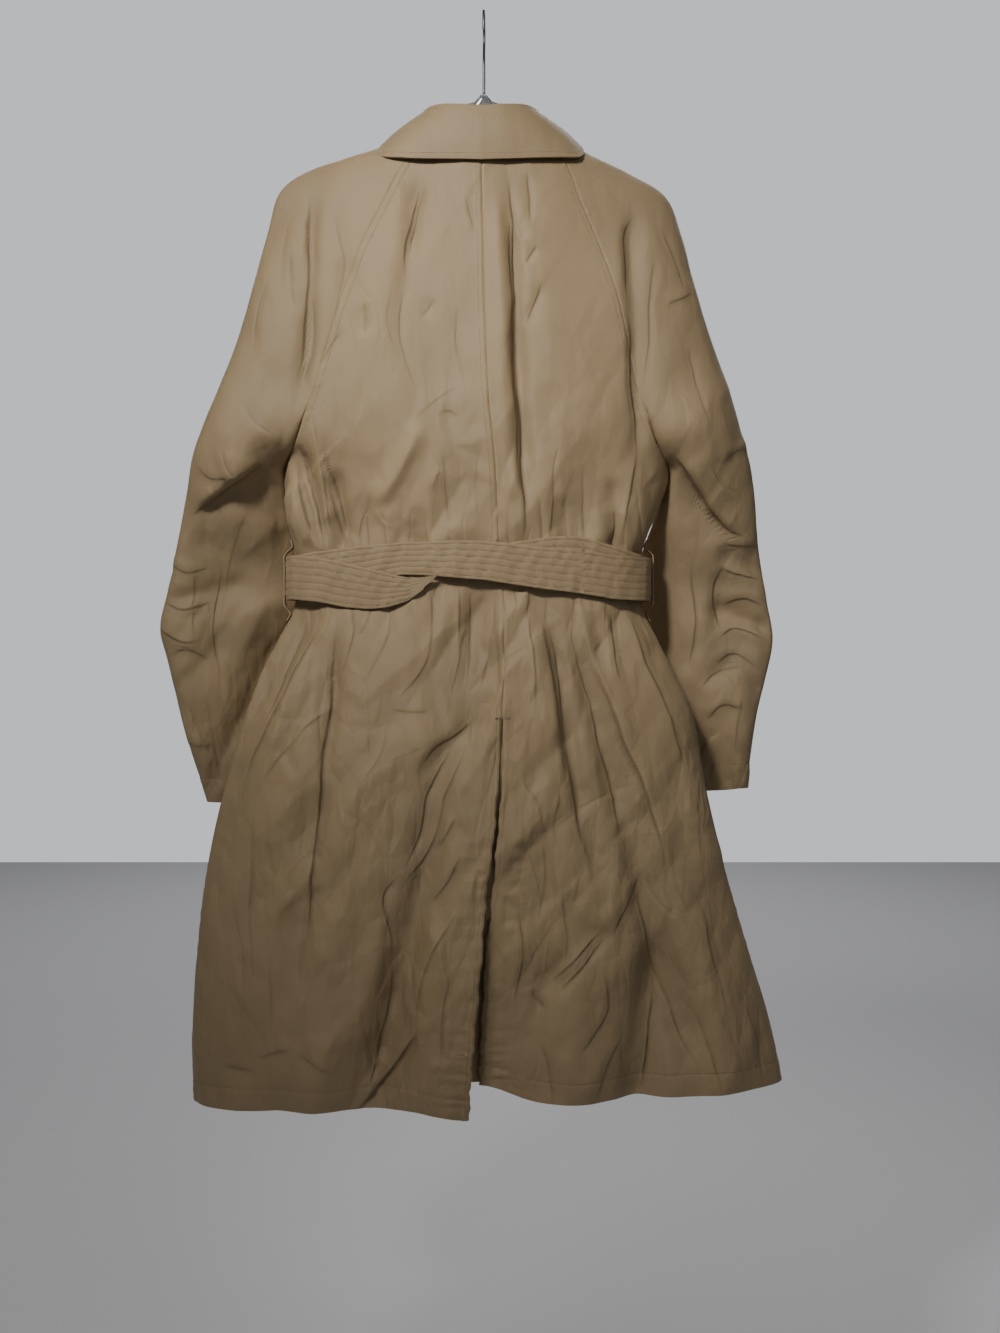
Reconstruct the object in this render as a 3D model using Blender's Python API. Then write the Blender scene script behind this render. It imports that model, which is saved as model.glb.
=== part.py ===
"""A belted raglan coat of cotton gabardine, hanging on a clear plastic hanger with a wire hook.

Frame: +Z up, origin under the top of the hook, where a rail carries it. The coat's back faces -Y
and the wearer's left is at -X. Sizes in the tables are millimetres; MM makes them metres.
A station is a place in a table: station 8.5 lies halfway between its rows 8 and 9.
"""

import math

import bmesh
import bpy
import numpy as np

MM = 0.001

# Cloth
WALL = 1.5              # body and sleeve cloth with its lining
SEAM_INSET = 0.18       # half of the gap between two pieces at a seam
UNDERARM_INSET = 0.5    # more of it where four pieces meet
UNDERARM_WALL = 0.9     # and a thinner wall in that tight corner
PLY_GAP = 0.35          # clear space between a piece and the panel under it
UNDERARM = 8            # station where the sleeves leave the body
BLEND_FROM = 6          # above this station body and sleeves are one rounded shell
CLOTH_COLOUR = (0.36, 0.27, 0.17)

# Body: one row for each level, from the neck to the hem
BODY_COLUMNS = "z left right centre side_y back_y front_y"
BODY_ROWS = [
    (-140, -43, 39, -3, -36, -43, 42),
    (-168, -80, 83, -2, -38, -47, 47),
    (-218, -106, 104, -1, -40, -52, 52),
    (-264, -129, 123, 0, -42, -55, 55),
    (-316, -149, 141, 1, -43, -57, 56),
    (-374, -167, 155, 3, -43, -58, 56),
    (-428, -184, 168, 6, -40, -58, 54),
    (-469, -200, 183, 10, -26, -57, 52),
    (-504, -217, 201, 13, 0, -56, 49),
    (-546, -213, 187, 15, -2, -53, 46),
    (-586, -206, 172, 17, -4, -50, 44),
    (-642, -205, 172, 22, -4, -50, 44),
    (-683, -223, 188, 22, -10, -58, 46),
    (-718, -240, 205, 22, -15, -64, 48),
    (-765, -257, 225, 20, -19, -70, 50),
    (-828, -275, 236, 18, -20, -76, 50),
    (-888, -290, 247, 13, -20, -80, 50),
    (-951, -301, 265, 6, -20, -83, 52),
    (-1017, -308, 284, 0, -20, -86, 54),
    (-1082, -312, 303, -5, -20, -88, 57),
    (-1128, -313, 313, -8, -20, -90, 59),
    (-1165, -312, 319, -9, -20, -90, 60),
]
SECTION_POWER = 2.4     # how square the body's sections are
SHOULDER_POWER = 1.5    # the same at the top of the shoulder, where the cloth falls off the hanger
NECK_DIP_BACK = 6       # how much lower the neck is at the centre back than at the raglan seams
NECK_DIP_FRONT = 46
HEM_TILT = 0.037        # the left side of the hem hangs lower
HEM_START = 17          # station where that begins

# Vent
VENT_START = 14
VENT_COLUMNS = "slit left_lip right_lip left_drop right_drop"
VENT_ROWS = [
    (1, 0, 0, 0, 0),
    (5, 1, 1, 0, 0),
    (4, 2, 3, 0, 0),
    (9, 6, 4, 0, 0),
    (4, 11, 7, 0, 2),
    (8, 14, 9, 3, 8),
    (10, 14, 10, 6, 14),
    (12, 14, 10, 9, 20),
]
LIP_REACH = 45
UNDERLAP_WIDTH = 64
UNDERLAP_BOTTOM = 20.4
UNDERLAP_EASE = 0.7     # how far inside the panels it starts
UNDERLAP_SLOPE = 1.25   # how much further it goes for each millimetre of the right lip
TAB_STATION = 17.2
TAB_HEIGHT = 22
TAB_WIDTH = 26
TAB_THICK = 1.0

# Sleeves: outer is the overarm seam, inner is the underarm seam from the underarm down
SLEEVE_OUTER_COLUMNS = "x z"
SLEEVE_OUTER = {
    "left": [
        (-66, -124), (-125, -152), (-185, -169), (-222, -194), (-236, -240), (-251, -296),
        (-270, -360), (-292, -417), (-316, -475), (-327, -522), (-339, -577), (-351, -630),
        (-359, -668), (-350, -712), (-337, -766), (-322, -822), (-310, -863),
    ],
    "right": [
        (59, -124), (112, -152), (161, -176), (199, -201), (216, -245), (229, -297),
        (247, -357), (268, -413), (284, -470), (294, -525), (304, -590), (313, -640),
        (320, -682), (312, -727), (302, -770), (297, -812), (295, -847),
    ],
}
SLEEVE_INNER = {
    "left": [(-214, -543), (-205, -597), (-197, -650), (-197, -688),
             (-198, -726), (-196, -778), (-190, -830), (-184, -870)],
    "right": [(190, -543), (172, -602), (172, -652), (174, -690),
              (178, -736), (179, -780), (176, -820), (171, -854)],
}
# One row for each sleeve station from the neck to the cuff
DRAPE_COLUMNS = "outer_y back_bulge front_bulge"
DRAPE_ROWS = [(0, 40, 40)] * 7 + [
    (3, 40, 41), (6, 40, 42), (14, 32, 39), (22, 27, 35), (26, 26, 32), (28, 27, 31),
    (32, 26, 31), (36, 25, 32), (40, 24, 32), (44, 24, 32),
]
INNER_Y = [24, 46, 54, 58, 62, 67, 72, 78]
SLEEVE_POWER = 2.2

# Largest folds: a trough (depth under 0) or a ridge along a line on the cloth
FOLD_COLUMNS = "zone x0 z0 x1 z1 width0 width1 depth0 depth1"
BACK_FOLDS = [
    ("all", 26, -189, 45, -578, 9, 10, -7, -8),
    ("all", 14, -200, 28, -560, 10, 10, 3, 2),
    ("all", -189, -204, -192, -440, 10, 10, -7, -4),
    ("all", 158, -215, 163, -505, 11, 11, -6, -6),
    ("all", -69, -194, -86, -330, 10, 12, -6, -3),
    ("all", -161, -226, -125, -357, 11, 12, -4, -3),
    ("body", -200, -478, -174, -576, 10, 10, -7, -7),
    ("body", -156, -510, -152, -590, 10, 9, -6, -7),
    ("body", -66, -462, -114, -540, 11, 11, 5, 3),
    ("body", 138, -520, 142, -592, 10, 9, -4, -6),
    ("body", 84, -540, 88, -592, 10, 9, -3, -5),
    ("body", -70, -550, -66, -592, 9, 9, -2, -4),
    ("body", -186, -650, -262, -840, 11, 16, -7, -6),
    ("body", -158, -668, -196, -1052, 10, 24, -4, -12),
    ("body", -30, -784, -120, -1170, 11, 24, -4, -24),
    ("body", -14, -773, -67, -825, 10, 10, -5, -3),
    ("body", 68, -650, 112, -936, 11, 18, -7, -6),
    ("body", 90, -650, 222, -1140, 11, 22, -7, -15),
    ("body", 118, -660, 140, -760, 10, 11, -5, -3),
    ("body", 118, -989, 64, -1040, 14, 14, -7, -5),
    ("body", 178, -1000, 160, -1170, 14, 20, -8, -22),
    ("body", 88, -873, 98, -1168, 24, 34, 6, 15),
    ("body", 222, -957, 252, -1165, 24, 30, 3, 14),
    ("body", -174, -880, -172, -1176, 26, 34, 2, 12),
    ("body", -44, -980, -46, -1176, 20, 26, 3, 10),
    ("sleeve", -352, -640, -262, -620, 10, 12, -6, -4),
    ("sleeve", 316, -610, 262, -590, 10, 12, -6, -4),
    ("sleeve", 314, -668, 256, -650, 10, 12, -7, -5),
    ("sleeve", 306, -738, 262, -712, 10, 12, -5, -3),
]
FRONT_FOLDS = [
    ("all", -188, -215, -180, -420, 11, 11, -6, -5),
    ("all", 158, -215, 160, -430, 11, 11, -6, -5),
    ("all", -78, -230, -100, -400, 11, 12, -5, -3),
    ("all", 84, -240, 92, -420, 11, 12, -5, -3),
    ("body", -150, -520, -146, -590, 10, 9, -4, -6),
    ("body", 128, -520, 124, -592, 10, 9, -4, -6),
    ("body", -140, -650, -214, -1165, 14, 38, -6, -13),
    ("body", -84, -650, -98, -1165, 14, 38, -5, -13),
    ("body", 98, -650, 122, -1160, 14, 38, -5, -13),
    ("body", 150, -650, 238, -1150, 14, 38, -6, -13),
    ("sleeve", -350, -648, -264, -630, 10, 12, -6, -4),
    ("sleeve", 314, -660, 252, -640, 10, 12, -6, -4),
]

# Front closure
LAP = 30                # half of the fronts' overlap
LAP_LIFT = WALL + PLY_GAP + 0.9
LAP_EASE = 40           # over this width the left front rises over the right one
BUTTON_LEVELS = (-232, -345, -458, -700, -815)
BUTTON_SIDES = 14
BUTTON_LIFT = 0.6
# Radius and height of each ring of a button, from its back to its dished face
BUTTON_PROFILE = [(10.4, 0), (11, 1.7), (10.4, 3.4), (7.2, 3.4), (6.4, 2.7)]

# Collar: one row for each angle round the neck, from the centre back to the centre front
COLLAR_CENTRE = -3
COLLAR_COLUMNS = "angle fold_x fold_y fold_z edge_x edge_y edge_z"
COLLAR_ROWS = [
    (0, 0, -47, -117, 0, -54, -177),
    (22, 24, -45, -115, 42, -51, -174.5),
    (45, 44, -35, -111.5, 79, -43.5, -168),
    (68, 56, -17, -108.5, 104, -29.5, -159.5),
    (90, 61, 2, -107, 110, 2, -142.5),
    (112, 57, 22, -108.5, 106, 34, -153),
    (135, 46, 38, -114, 92, 55, -185),
    (158, 27, 49, -131, 74, 66, -218),
    (180, 4, 54, -164, 56, 68, -244),
]
COLLAR_WALL = 2.0
COLLAR_ROLL = 3.6       # outer radius of the turned edge
COLLAR_BOW = 3.0        # how much the fall swells between roll and edge
COLLAR_STEPS = 20
STAND_LIFT = 0.8        # the stand's lower edge above the neck seam
STAND_FRONT_LIFT = 3.6  # added to that at the front, over the two fronts' lap
STAND_DROP = 0.8        # the stand's upper edge below the roll

# Belt: it crosses the back twice, and changes from under to over where the two crossings meet
BELT_THICK = 2.0
BELT_OFF_CLOTH = 0.6
BELT_PITCH = 4.5        # from one layer to the next
BELT_STATIONS = (9.75, 11.25)
BELT_STEP = 15
# Each row: x, z, half width and layer
BELT_FIRST_PASS = [
    (168, -616, 23.5, 0), (137, -607, 23.5, 0), (105, -597, 23, 0), (74, -596, 22, 0),
    (30, -600, 19, 0), (-10, -602, 14, 0), (-30, -609, 8, 0), (-43.5, -621.5, 3, 0.1),
    (-49, -622.5, 3, 0.5), (-54.5, -623.5, 3.6, 0.9), (-63, -626.5, 7, 1), (-77, -630, 11.6, 1),
    (-98, -631.5, 17.3, 1), (-120, -629.7, 21.3, 1), (-146, -625.3, 23.5, 1),
    (-172, -619.5, 23.5, 1), (-200, -616, 23.5, 1),
]
BELT_SECOND_PASS = [
    (168, -618, 23.2, 1), (137, -617, 23.2, 1), (105, -612, 23, 1), (53, -607, 21.5, 1),
    (2, -600, 20.5, 1), (-30, -598.5, 19.5, 1), (-43.5, -598, 18.6, 0.9), (-49, -598, 18.5, 0.5),
    (-54.5, -598, 18, 0.1), (-63, -597.5, 17.5, 0), (-88, -597.5, 17, 0), (-148, -606.8, 21, 0),
    (-200, -615, 23.2, 0),
]
BELT_FRONT_LEVEL = -616
BELT_HALF = 23.5
BELT_END = 120          # how far each end runs on past its keeper, tucked in behind the belt

# Belt keepers
KEEPER_TOP = -574
KEEPER_BOTTOM = -662
KEEPER_HALF = 6
KEEPER_THICK = 1.5
# Height from the middle (1 is the top end), distance off its seat, and whether that is the belt
KEEPER_PROFILE = [(1, 1.3, False), (0.82, 1.2, False), (0.62, 0, True), (0.3, 0.2, True),
                  (0, 0.4, True), (-0.3, 0.2, True), (-0.62, 0, True), (-0.82, 1.0, False),
                  (-1, 1.0, False)]

# Hanger
HOOK_WIRE = 1.6
HOOK_RADIUS = 21.6      # of the wire's centre line, round the seat
HOOK_FOOT = -86.1
HANGER_COLOUR = (0.86, 0.88, 0.88)
HANGER_REACH = {"left": 2.45, "right": 2.8}    # sleeve stations where the arms end
HANGER_BENDS = [(0, -86.5), (3, -87.5), (8, -93.5), (14, -97), (22, -98), (34, -102.5),
                (43, -114), (52, -130)]
HANGER_CLEAR = WALL + PLY_GAP
HANGER_PROFILE = [(0, 0), (2, 1.8), (3.6, 4), (4.6, 7.5), (4.6, 16), (3.4, 19)]

FACES = {"back": -1, "front": 1}
SIDES = ("left", "right")
ROW_STEP_ABOVE = 0.5
ROWS_BELOW_BODY = 20
ROWS_BELOW_SLEEVE = 13
BACK_STEPS = 16
FRONT_STEPS = 9
SLEEVE_STEPS = 7
DENSE = 160


class Table:
    """Rows of sizes with named columns, read between its rows along a smooth curve."""

    def __init__(self, columns, rows):
        self.columns = columns.split()
        self.values = np.array(rows, float)

    def at(self, name, station):
        column = self.values[:, self.columns.index(name)]
        return smooth(column, station)


def smooth(column, station):
    """The value at a station of a column, on a Catmull-Rom curve through its rows."""
    last = len(column) - 1
    station = np.clip(np.asarray(station, float), 0, last)
    row = np.minimum(station.astype(int), last - 1)
    t = station - row
    here = column[row]
    after = column[row + 1]
    before = np.where(row > 0, column[np.maximum(row - 1, 0)], 2 * here - after)
    beyond = np.where(row < last - 1, column[np.minimum(row + 2, last)], 2 * after - here)
    return 0.5 * (
        2 * here
        + (after - before) * t
        + (2 * before - 5 * here + 4 * after - beyond) * t**2
        + (3 * here - before - 3 * after + beyond) * t**3
    )


def ease(value):
    """0 up to 0, 1 from 1 on, and a smooth rise between."""
    value = np.clip(value, 0, 1)
    return value * value * (3 - 2 * value)


BODY = Table(BODY_COLUMNS, BODY_ROWS)
VENT = Table(VENT_COLUMNS, VENT_ROWS)
DRAPE = Table(DRAPE_COLUMNS, DRAPE_ROWS)
OUTER = {side: Table(SLEEVE_OUTER_COLUMNS, SLEEVE_OUTER[side]) for side in SIDES}
COLLAR = Table(COLLAR_COLUMNS, COLLAR_ROWS)


def inner_table(side):
    """The underarm seam of a sleeve, from the underarm down to the cuff."""
    top = (BODY.at(side, UNDERARM), BODY.at("z", UNDERARM), BODY.at("side_y", UNDERARM))
    rows = [(x, z, y) for (x, z), y in zip(SLEEVE_INNER[side], INNER_Y)]
    return Table("x z y", [top] + rows)


INNER = {side: inner_table(side) for side in SIDES}
LEVEL_STATIONS = np.linspace(0, len(BODY_ROWS) - 1, 400)
LEVELS = BODY.at("z", LEVEL_STATIONS)
OUTLINE_STATIONS = np.linspace(0, 11, 400)
OUTLINE = {
    side: (OUTER[side].at("x", OUTLINE_STATIONS), OUTER[side].at("z", OUTLINE_STATIONS))
    for side in SIDES
}


def station_of_level(z):
    return np.interp(-z, -LEVELS, LEVEL_STATIONS)


def shell_depth(x, z, face):
    """Depth at a place on the shell that shoulders, sleeves and body share above the underarm."""
    station = station_of_level(z)
    centre = BODY.at("centre", station)
    reach_left = centre - np.interp(-z, -OUTLINE["left"][1], OUTLINE["left"][0])
    reach_right = np.interp(-z, -OUTLINE["right"][1], OUTLINE["right"][0]) - centre
    across = np.abs(x - centre) / np.where(x < centre, reach_left, reach_right)
    across = np.clip(across, 0, 1)
    power = SHOULDER_POWER + (SECTION_POWER - SHOULDER_POWER) * ease((-150 - z) / 200)
    return BODY.at(face + "_y", station) * (1 - across**power) ** (1 / power)


def dense_spread(count=DENSE):
    """Steps from 0 to 1 that are finest at the 1 end, where a section turns fastest."""
    return np.sin(np.linspace(0, math.pi / 2, count))


def even(points, steps):
    """The same curve with its points an even distance apart."""
    length = np.linalg.norm(np.diff(points, axis=0), axis=1)
    along = np.concatenate([[0], np.cumsum(length)])
    wanted = np.linspace(0, along[-1], steps + 1)
    return np.stack([np.interp(wanted, along, points[:, k]) for k in range(3)], axis=1)


def centre_edge(side, face, station):
    """Where a panel starts: at the centre-back seam, the vent's slit or the fronts' edge."""
    centre = BODY.at("centre", station)
    outward = -1 if side == "left" else 1
    if face == "front":
        return centre - outward * LAP
    if station <= VENT_START:
        return centre
    return centre + outward * VENT.at("slit", station - VENT_START) / 2


def body_section(side, face, station, start=None):
    """A panel's points at one level, from its centre edge to its side or raglan seam."""
    centre = BODY.at("centre", station)
    seam = BODY.at(side, station)
    first = centre_edge(side, face, station) if start is None else start
    x = first + (seam - first) * dense_spread()
    signed = (x - centre) / (seam - centre)
    across = np.clip(np.abs(signed), 0, 1)
    dip = NECK_DIP_BACK if face == "back" else NECK_DIP_FRONT
    z = BODY.at("z", station) - dip * (1 - across) ** 2 * ease(1 - station / 3)
    z = z + HEM_TILT * x * ease((station - HEM_START) / 4)
    depth = BODY.at(face + "_y", station)
    side_y = BODY.at("side_y", station)
    round_y = side_y + (depth - side_y) * (1 - across**SECTION_POWER) ** (1 / SECTION_POWER)
    low = ease((station - BLEND_FROM) / (UNDERARM - BLEND_FROM))
    y = (1 - low) * shell_depth(x, z, face) + low * round_y
    if face == "back" and station > VENT_START and start is None:
        row = station - VENT_START
        near = np.exp(-(((x - first) / LIP_REACH) ** 2))
        turn = -VENT.at("left_lip", row) if side == "left" else VENT.at("right_lip", row)
        y = y + turn * near
        drop = -VENT.at("left_drop", row) if side == "left" else VENT.at("right_drop", row)
        z = z + drop * near
    if face == "front" and side == "left":
        y = y + LAP_LIFT * ease((x - (centre - LAP - 10 - LAP_EASE)) / LAP_EASE)
    return np.stack([x, y, z], axis=1)


def sleeve_section(side, face, station):
    """A sleeve half's points at one station, from the overarm seam to its inner seam."""
    outer_x = OUTER[side].at("x", station)
    outer_z = OUTER[side].at("z", station)
    if station <= UNDERARM:
        inner = [BODY.at(name, station) for name in (side, "z", "side_y")]
    else:
        inner = [INNER[side].at(name, station - UNDERARM) for name in ("x", "z", "y")]
    t = 1 - dense_spread()[::-1]
    half = DENSE // 2
    t[half:] = np.linspace(t[half], 1, DENSE - half)
    if station > BLEND_FROM:
        t = 0.5 - 0.5 * np.cos(np.linspace(0, math.pi, DENSE))
    x = outer_x + (inner[0] - outer_x) * t
    z = outer_z + (inner[1] - outer_z) * t
    outer_y = DRAPE.at("outer_y", station)
    bulge = DRAPE.at(face + "_bulge", station)
    swell = (1 - np.abs(2 * t - 1) ** SLEEVE_POWER) ** (1 / SLEEVE_POWER)
    ring_y = outer_y + (inner[2] - outer_y) * t + FACES[face] * bulge * swell
    low = ease((station - BLEND_FROM) / (UNDERARM - BLEND_FROM))
    y = ring_y
    if low < 1:
        y = (1 - low) * shell_depth(x, z, face) + low * ring_y
        y[0] = low * outer_y
    return np.stack([x, y, z], axis=1)


def row_stations(last, rows_below):
    above = np.arange(0, UNDERARM, ROW_STEP_ABOVE)
    below = np.linspace(UNDERARM, last, rows_below + 1)
    return np.concatenate([above, below])


def section_grid(section, stations, steps):
    return np.array([even(section(station), steps) for station in stations])


def cell_normals(grid, outward):
    """A normal at each point of a grid, weighted by area; outward is -1 or 1 along Y."""
    across = np.cross(grid[1:, 1:] - grid[:-1, :-1], grid[1:, :-1] - grid[:-1, 1:])
    if np.sign(across[..., 1].sum()) != outward:
        across = -across
    total = np.zeros_like(grid)
    for down in (0, 1):
        for side in (0, 1):
            rows = slice(down, grid.shape[0] - 1 + down)
            columns = slice(side, grid.shape[1] - 1 + side)
            total[rows, columns] += across
    return total


def shared_normals(grids):
    """Unit normals of several grids, the same on both sides of every seam.

    From the underarm down, body and sleeves are parted, so each takes its own normals there.
    """
    sums = {}
    found = {name: cell_normals(grid, FACES[face]) for name, (grid, face) in grids.items()}
    keys = {name: point_keys(grid, name) for name, (grid, _) in grids.items()}
    for name in grids:
        for key, normal in zip(keys[name], found[name].reshape(-1, 3)):
            sums[key] = sums.get(key, 0) + normal
    for name, (grid, _) in grids.items():
        joined = np.array([sums[key] for key in keys[name]])
        found[name] = (joined / np.linalg.norm(joined, axis=1, keepdims=True)).reshape(grid.shape)
    return found


def point_keys(grid, name):
    zone = 1 if name.startswith("sleeve") else 2
    zones = np.zeros(grid.shape[:2])
    zones[row_count_above() + 1:] = zone
    return [tuple(key) for key in np.column_stack(
        [np.round(grid.reshape(-1, 3), 3), zones.reshape(-1)]) + 0.0]


def fold_height(points, folds, zone):
    """How far the folds lift each point off the smooth shell, or sink it."""
    height = np.zeros(points.shape[:-1])
    x = points[..., 0]
    z = points[..., 2]
    for row in folds:
        fold = dict(zip(FOLD_COLUMNS.split(), row))
        if fold["zone"] not in ("all", zone):
            continue
        run = np.array([fold["x1"] - fold["x0"], fold["z1"] - fold["z0"]])
        length = np.hypot(*run)
        along = ((x - fold["x0"]) * run[0] + (z - fold["z0"]) * run[1]) / length**2
        off = ((x - fold["x0"]) * run[1] - (z - fold["z0"]) * run[0]) / length
        inside = np.clip(along, 0, 1)
        beyond = (along - inside) * length
        width = fold["width0"] + (fold["width1"] - fold["width0"]) * inside
        depth = fold["depth0"] + (fold["depth1"] - fold["depth0"]) * inside
        height = height + depth * np.exp(-((off / width) ** 2) - (beyond / (1.5 * width)) ** 2)
    return height


def silhouette_fade(grid, name):
    """Folds die out towards the seams where back and front meet."""
    steps = grid.shape[1] - 1
    across = np.arange(steps + 1) / steps
    fade = np.ones(grid.shape[:2])
    if name.startswith("sleeve"):
        fade *= ease(across * 4)
        fade[row_count_above():] *= ease((1 - across) * 4)
        return fade
    fade[row_count_above():] *= ease((1 - across) * 6)
    return fade


def row_count_above():
    return int(UNDERARM / ROW_STEP_ABOVE) - 1


def shell_grids():
    """The outer faces of body and sleeves, as {node: (grid, face)}."""
    body_stations = row_stations(len(BODY_ROWS) - 1, ROWS_BELOW_BODY)
    sleeve_stations = row_stations(len(DRAPE_ROWS) - 1, ROWS_BELOW_SLEEVE)
    grids = {}
    for side in SIDES:
        for face, steps in (("back", BACK_STEPS), ("front", FRONT_STEPS)):
            grids[f"{face}_{side}"] = (section_grid(
                lambda station: body_section(side, face, station), body_stations, steps), face)
            grids[f"sleeve_{face}_{side}"] = (section_grid(
                lambda station: sleeve_section(side, face, station),
                sleeve_stations, SLEEVE_STEPS), face)
    return folded(grids)


def folded(grids):
    normals = shared_normals(grids)
    result = {}
    for name, (grid, face) in grids.items():
        zone = "sleeve" if name.startswith("sleeve") else "body"
        folds = BACK_FOLDS if face == "back" else FRONT_FOLDS
        height = fold_height(grid, folds, zone) * silhouette_fade(grid, name)
        if face == "front" and zone == "body":
            middle = BODY.at("centre", station_of_level(grid[..., 2]))
            height = height * ease((np.abs(grid[..., 0] - middle) - LAP - 8) / LAP_EASE)
        result[name] = (grid + normals[name] * height[..., None], face)
    return result


def seam_inset(grid, normals):
    """How far each point moves in from a panel's two long edges, in the cloth's own plane."""
    move = np.zeros_like(grid)
    for edge, neighbour in ((0, 1), (-1, -2)):
        along = np.gradient(grid[:, edge], axis=0)
        inward = np.cross(along, normals[:, edge])
        inward /= np.linalg.norm(inward, axis=1, keepdims=True)
        ways = np.sum(inward * (grid[:, neighbour] - grid[:, edge]), axis=1)
        inward *= np.sign(ways)[:, None]
        move[:, edge] = SEAM_INSET * inward
    underarm = row_count_above() + 1
    for row, share in ((underarm, 1), (underarm + 1, 0.5)):
        move[row, -1] -= share * UNDERARM_INSET * normals[row, -1]
    return move


def material_of(name, colour, roughness, metallic=0.0):
    material = bpy.data.materials.new(name)
    material.use_nodes = True
    shader = material.node_tree.nodes["Principled BSDF"]
    shader.inputs["Base Color"].default_value = (*colour, 1)
    shader.inputs["Roughness"].default_value = roughness
    shader.inputs["Metallic"].default_value = metallic
    return material


def add_object(name, points, faces, material):
    """An object made from millimetre points, with its faces turned outwards."""
    mesh = bpy.data.meshes.new(name)
    mesh.from_pydata([tuple(point) for point in np.asarray(points) * MM], [], faces)
    work = bmesh.new()
    work.from_mesh(mesh)
    bmesh.ops.recalc_face_normals(work, faces=work.faces)
    work.to_mesh(mesh)
    work.free()
    mesh.shade_smooth()
    mesh.set_sharp_from_angle(angle=math.radians(50))
    mesh.materials.append(material)
    bpy.context.scene.collection.objects.link(bpy.data.objects.new(name, mesh))


def add_wall(name, outer, inner, material, closed=False):
    """A closed sheet between two grids of the same shape; closed joins its last column to its first."""
    rows, columns = outer.shape[:2]
    size = rows * columns

    def index(row, column):
        return row * columns + column % columns

    across = columns if closed else columns - 1
    faces = []
    for row in range(rows - 1):
        for column in range(across):
            quad = [index(row, column), index(row, column + 1),
                    index(row + 1, column + 1), index(row + 1, column)]
            faces.append(quad)
            faces.append([size + corner for corner in reversed(quad)])
    for row in (0, rows - 1):
        for column in range(across):
            start, end = index(row, column), index(row, column + 1)
            faces.append([start, end, size + end, size + start])
    if not closed:
        for column in (0, columns - 1):
            for row in range(rows - 1):
                start, end = index(row, column), index(row + 1, column)
                faces.append([start, end, size + end, size + start])
    points = np.concatenate([outer.reshape(-1, 3), inner.reshape(-1, 3)])
    add_object(name, points, faces, material)


def build_shell(material):
    grids = shell_grids()
    normals = shared_normals(grids)
    for name, (grid, _) in grids.items():
        outer = grid + seam_inset(grid, normals[name])
        thick = np.full(grid.shape[:2] + (1,), WALL)
        thick[row_count_above() - 3:row_count_above() + 3, -3:] = UNDERARM_WALL
        add_wall(name, outer, outer - thick * normals[name], material)
    return grids


def build_vent(material):
    """The strip behind the slit and the tab across it, laid inside the back panels."""
    centre_x = BODY.at("centre", np.linspace(VENT_START, UNDERLAP_BOTTOM, 12))
    stations = np.linspace(VENT_START - 0.3, UNDERLAP_BOTTOM, 12)
    rows = []
    for station, middle in zip(stations, centre_x):
        lip = max(0.0, VENT.at("right_lip", max(station - VENT_START, 0)))
        inward = WALL + PLY_GAP + UNDERLAP_EASE + UNDERLAP_SLOPE * lip
        x = np.linspace(middle - UNDERLAP_WIDTH / 2, middle + UNDERLAP_WIDTH / 2, 9)
        rows.append(under_back(x, np.full(9, BODY.at("z", station)), station, inward))
    outer = np.array(rows)
    add_wall("vent_underlap", outer, outer + np.array([0, WALL, 0]), material)
    middle = BODY.at("centre", TAB_STATION)
    x = np.linspace(middle - TAB_WIDTH / 2, middle + TAB_WIDTH / 2, 5)
    rows = []
    for lift in (TAB_HEIGHT / 2, 0, -TAB_HEIGHT / 2):
        level = BODY.at("z", TAB_STATION) + lift
        station = station_of_level(level)
        lip = VENT.at("right_lip", station - VENT_START)
        rows.append(under_back(x, np.full(5, level), station, WALL + PLY_GAP + lip))
    outer = np.array(rows)
    add_wall("vent_tab", outer, outer + np.array([0, TAB_THICK, 0]), material)


def under_back(x, z, station, inward):
    """Points an inward distance behind the back at a station, folds and all."""
    points = np.stack([x, back_depth(x, station) + inward, z], axis=1)
    points[:, 1] -= fold_height(points, BACK_FOLDS, "body")
    return points


def back_depth(x, station):
    """Depth of the smooth back at a station, near the centre."""
    side_y = BODY.at("side_y", station)
    depth = BODY.at("back_y", station)
    half = BODY.at("right", station) - BODY.at("centre", station)
    across = np.abs(x - BODY.at("centre", station)) / half
    return side_y + (depth - side_y) * (1 - across**SECTION_POWER) ** (1 / SECTION_POWER)


def neck_edge(grids, side):
    """The upper edge of the shell on one side of the neck, as angle and point."""
    sign = -1 if side == "left" else 1
    names = [f"back_{side}", f"sleeve_back_{side}", f"sleeve_front_{side}", f"front_{side}"]
    points = np.concatenate([grids[name][0][0] for name in names])
    beside = sign * (points[:, 0] - COLLAR_CENTRE)
    points = points[beside >= 0]
    angle = np.degrees(np.arctan2(beside[beside >= 0], -points[:, 1]))
    order = np.argsort(angle)
    return angle[order], points[order]


def collar_ring(grids, angles):
    """Neck, fold and edge points round the neck, and the way out from it at each angle."""
    station = np.abs(angles) / 22.5
    sign = np.where(angles < 0, -1, 1)
    found = {}
    for part in ("fold", "edge"):
        x = COLLAR_CENTRE + sign * COLLAR.at(part + "_x", station)
        found[part] = np.stack(
            [x, COLLAR.at(part + "_y", station), COLLAR.at(part + "_z", station)], axis=1)
    neck = np.zeros((len(angles), 3))
    for side, chosen in (("left", angles < 0), ("right", angles >= 0)):
        where, points = neck_edge(grids, side)
        for axis in range(3):
            neck[chosen, axis] = np.interp(np.abs(angles[chosen]), where, points[:, axis])
    found["neck"] = neck
    tangent = np.gradient(found["fold"][:, :2], axis=0)
    out = np.stack([tangent[:, 1], -tangent[:, 0], np.zeros(len(angles))], axis=1)
    found["out"] = out / np.linalg.norm(out, axis=1, keepdims=True)
    return found


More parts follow.
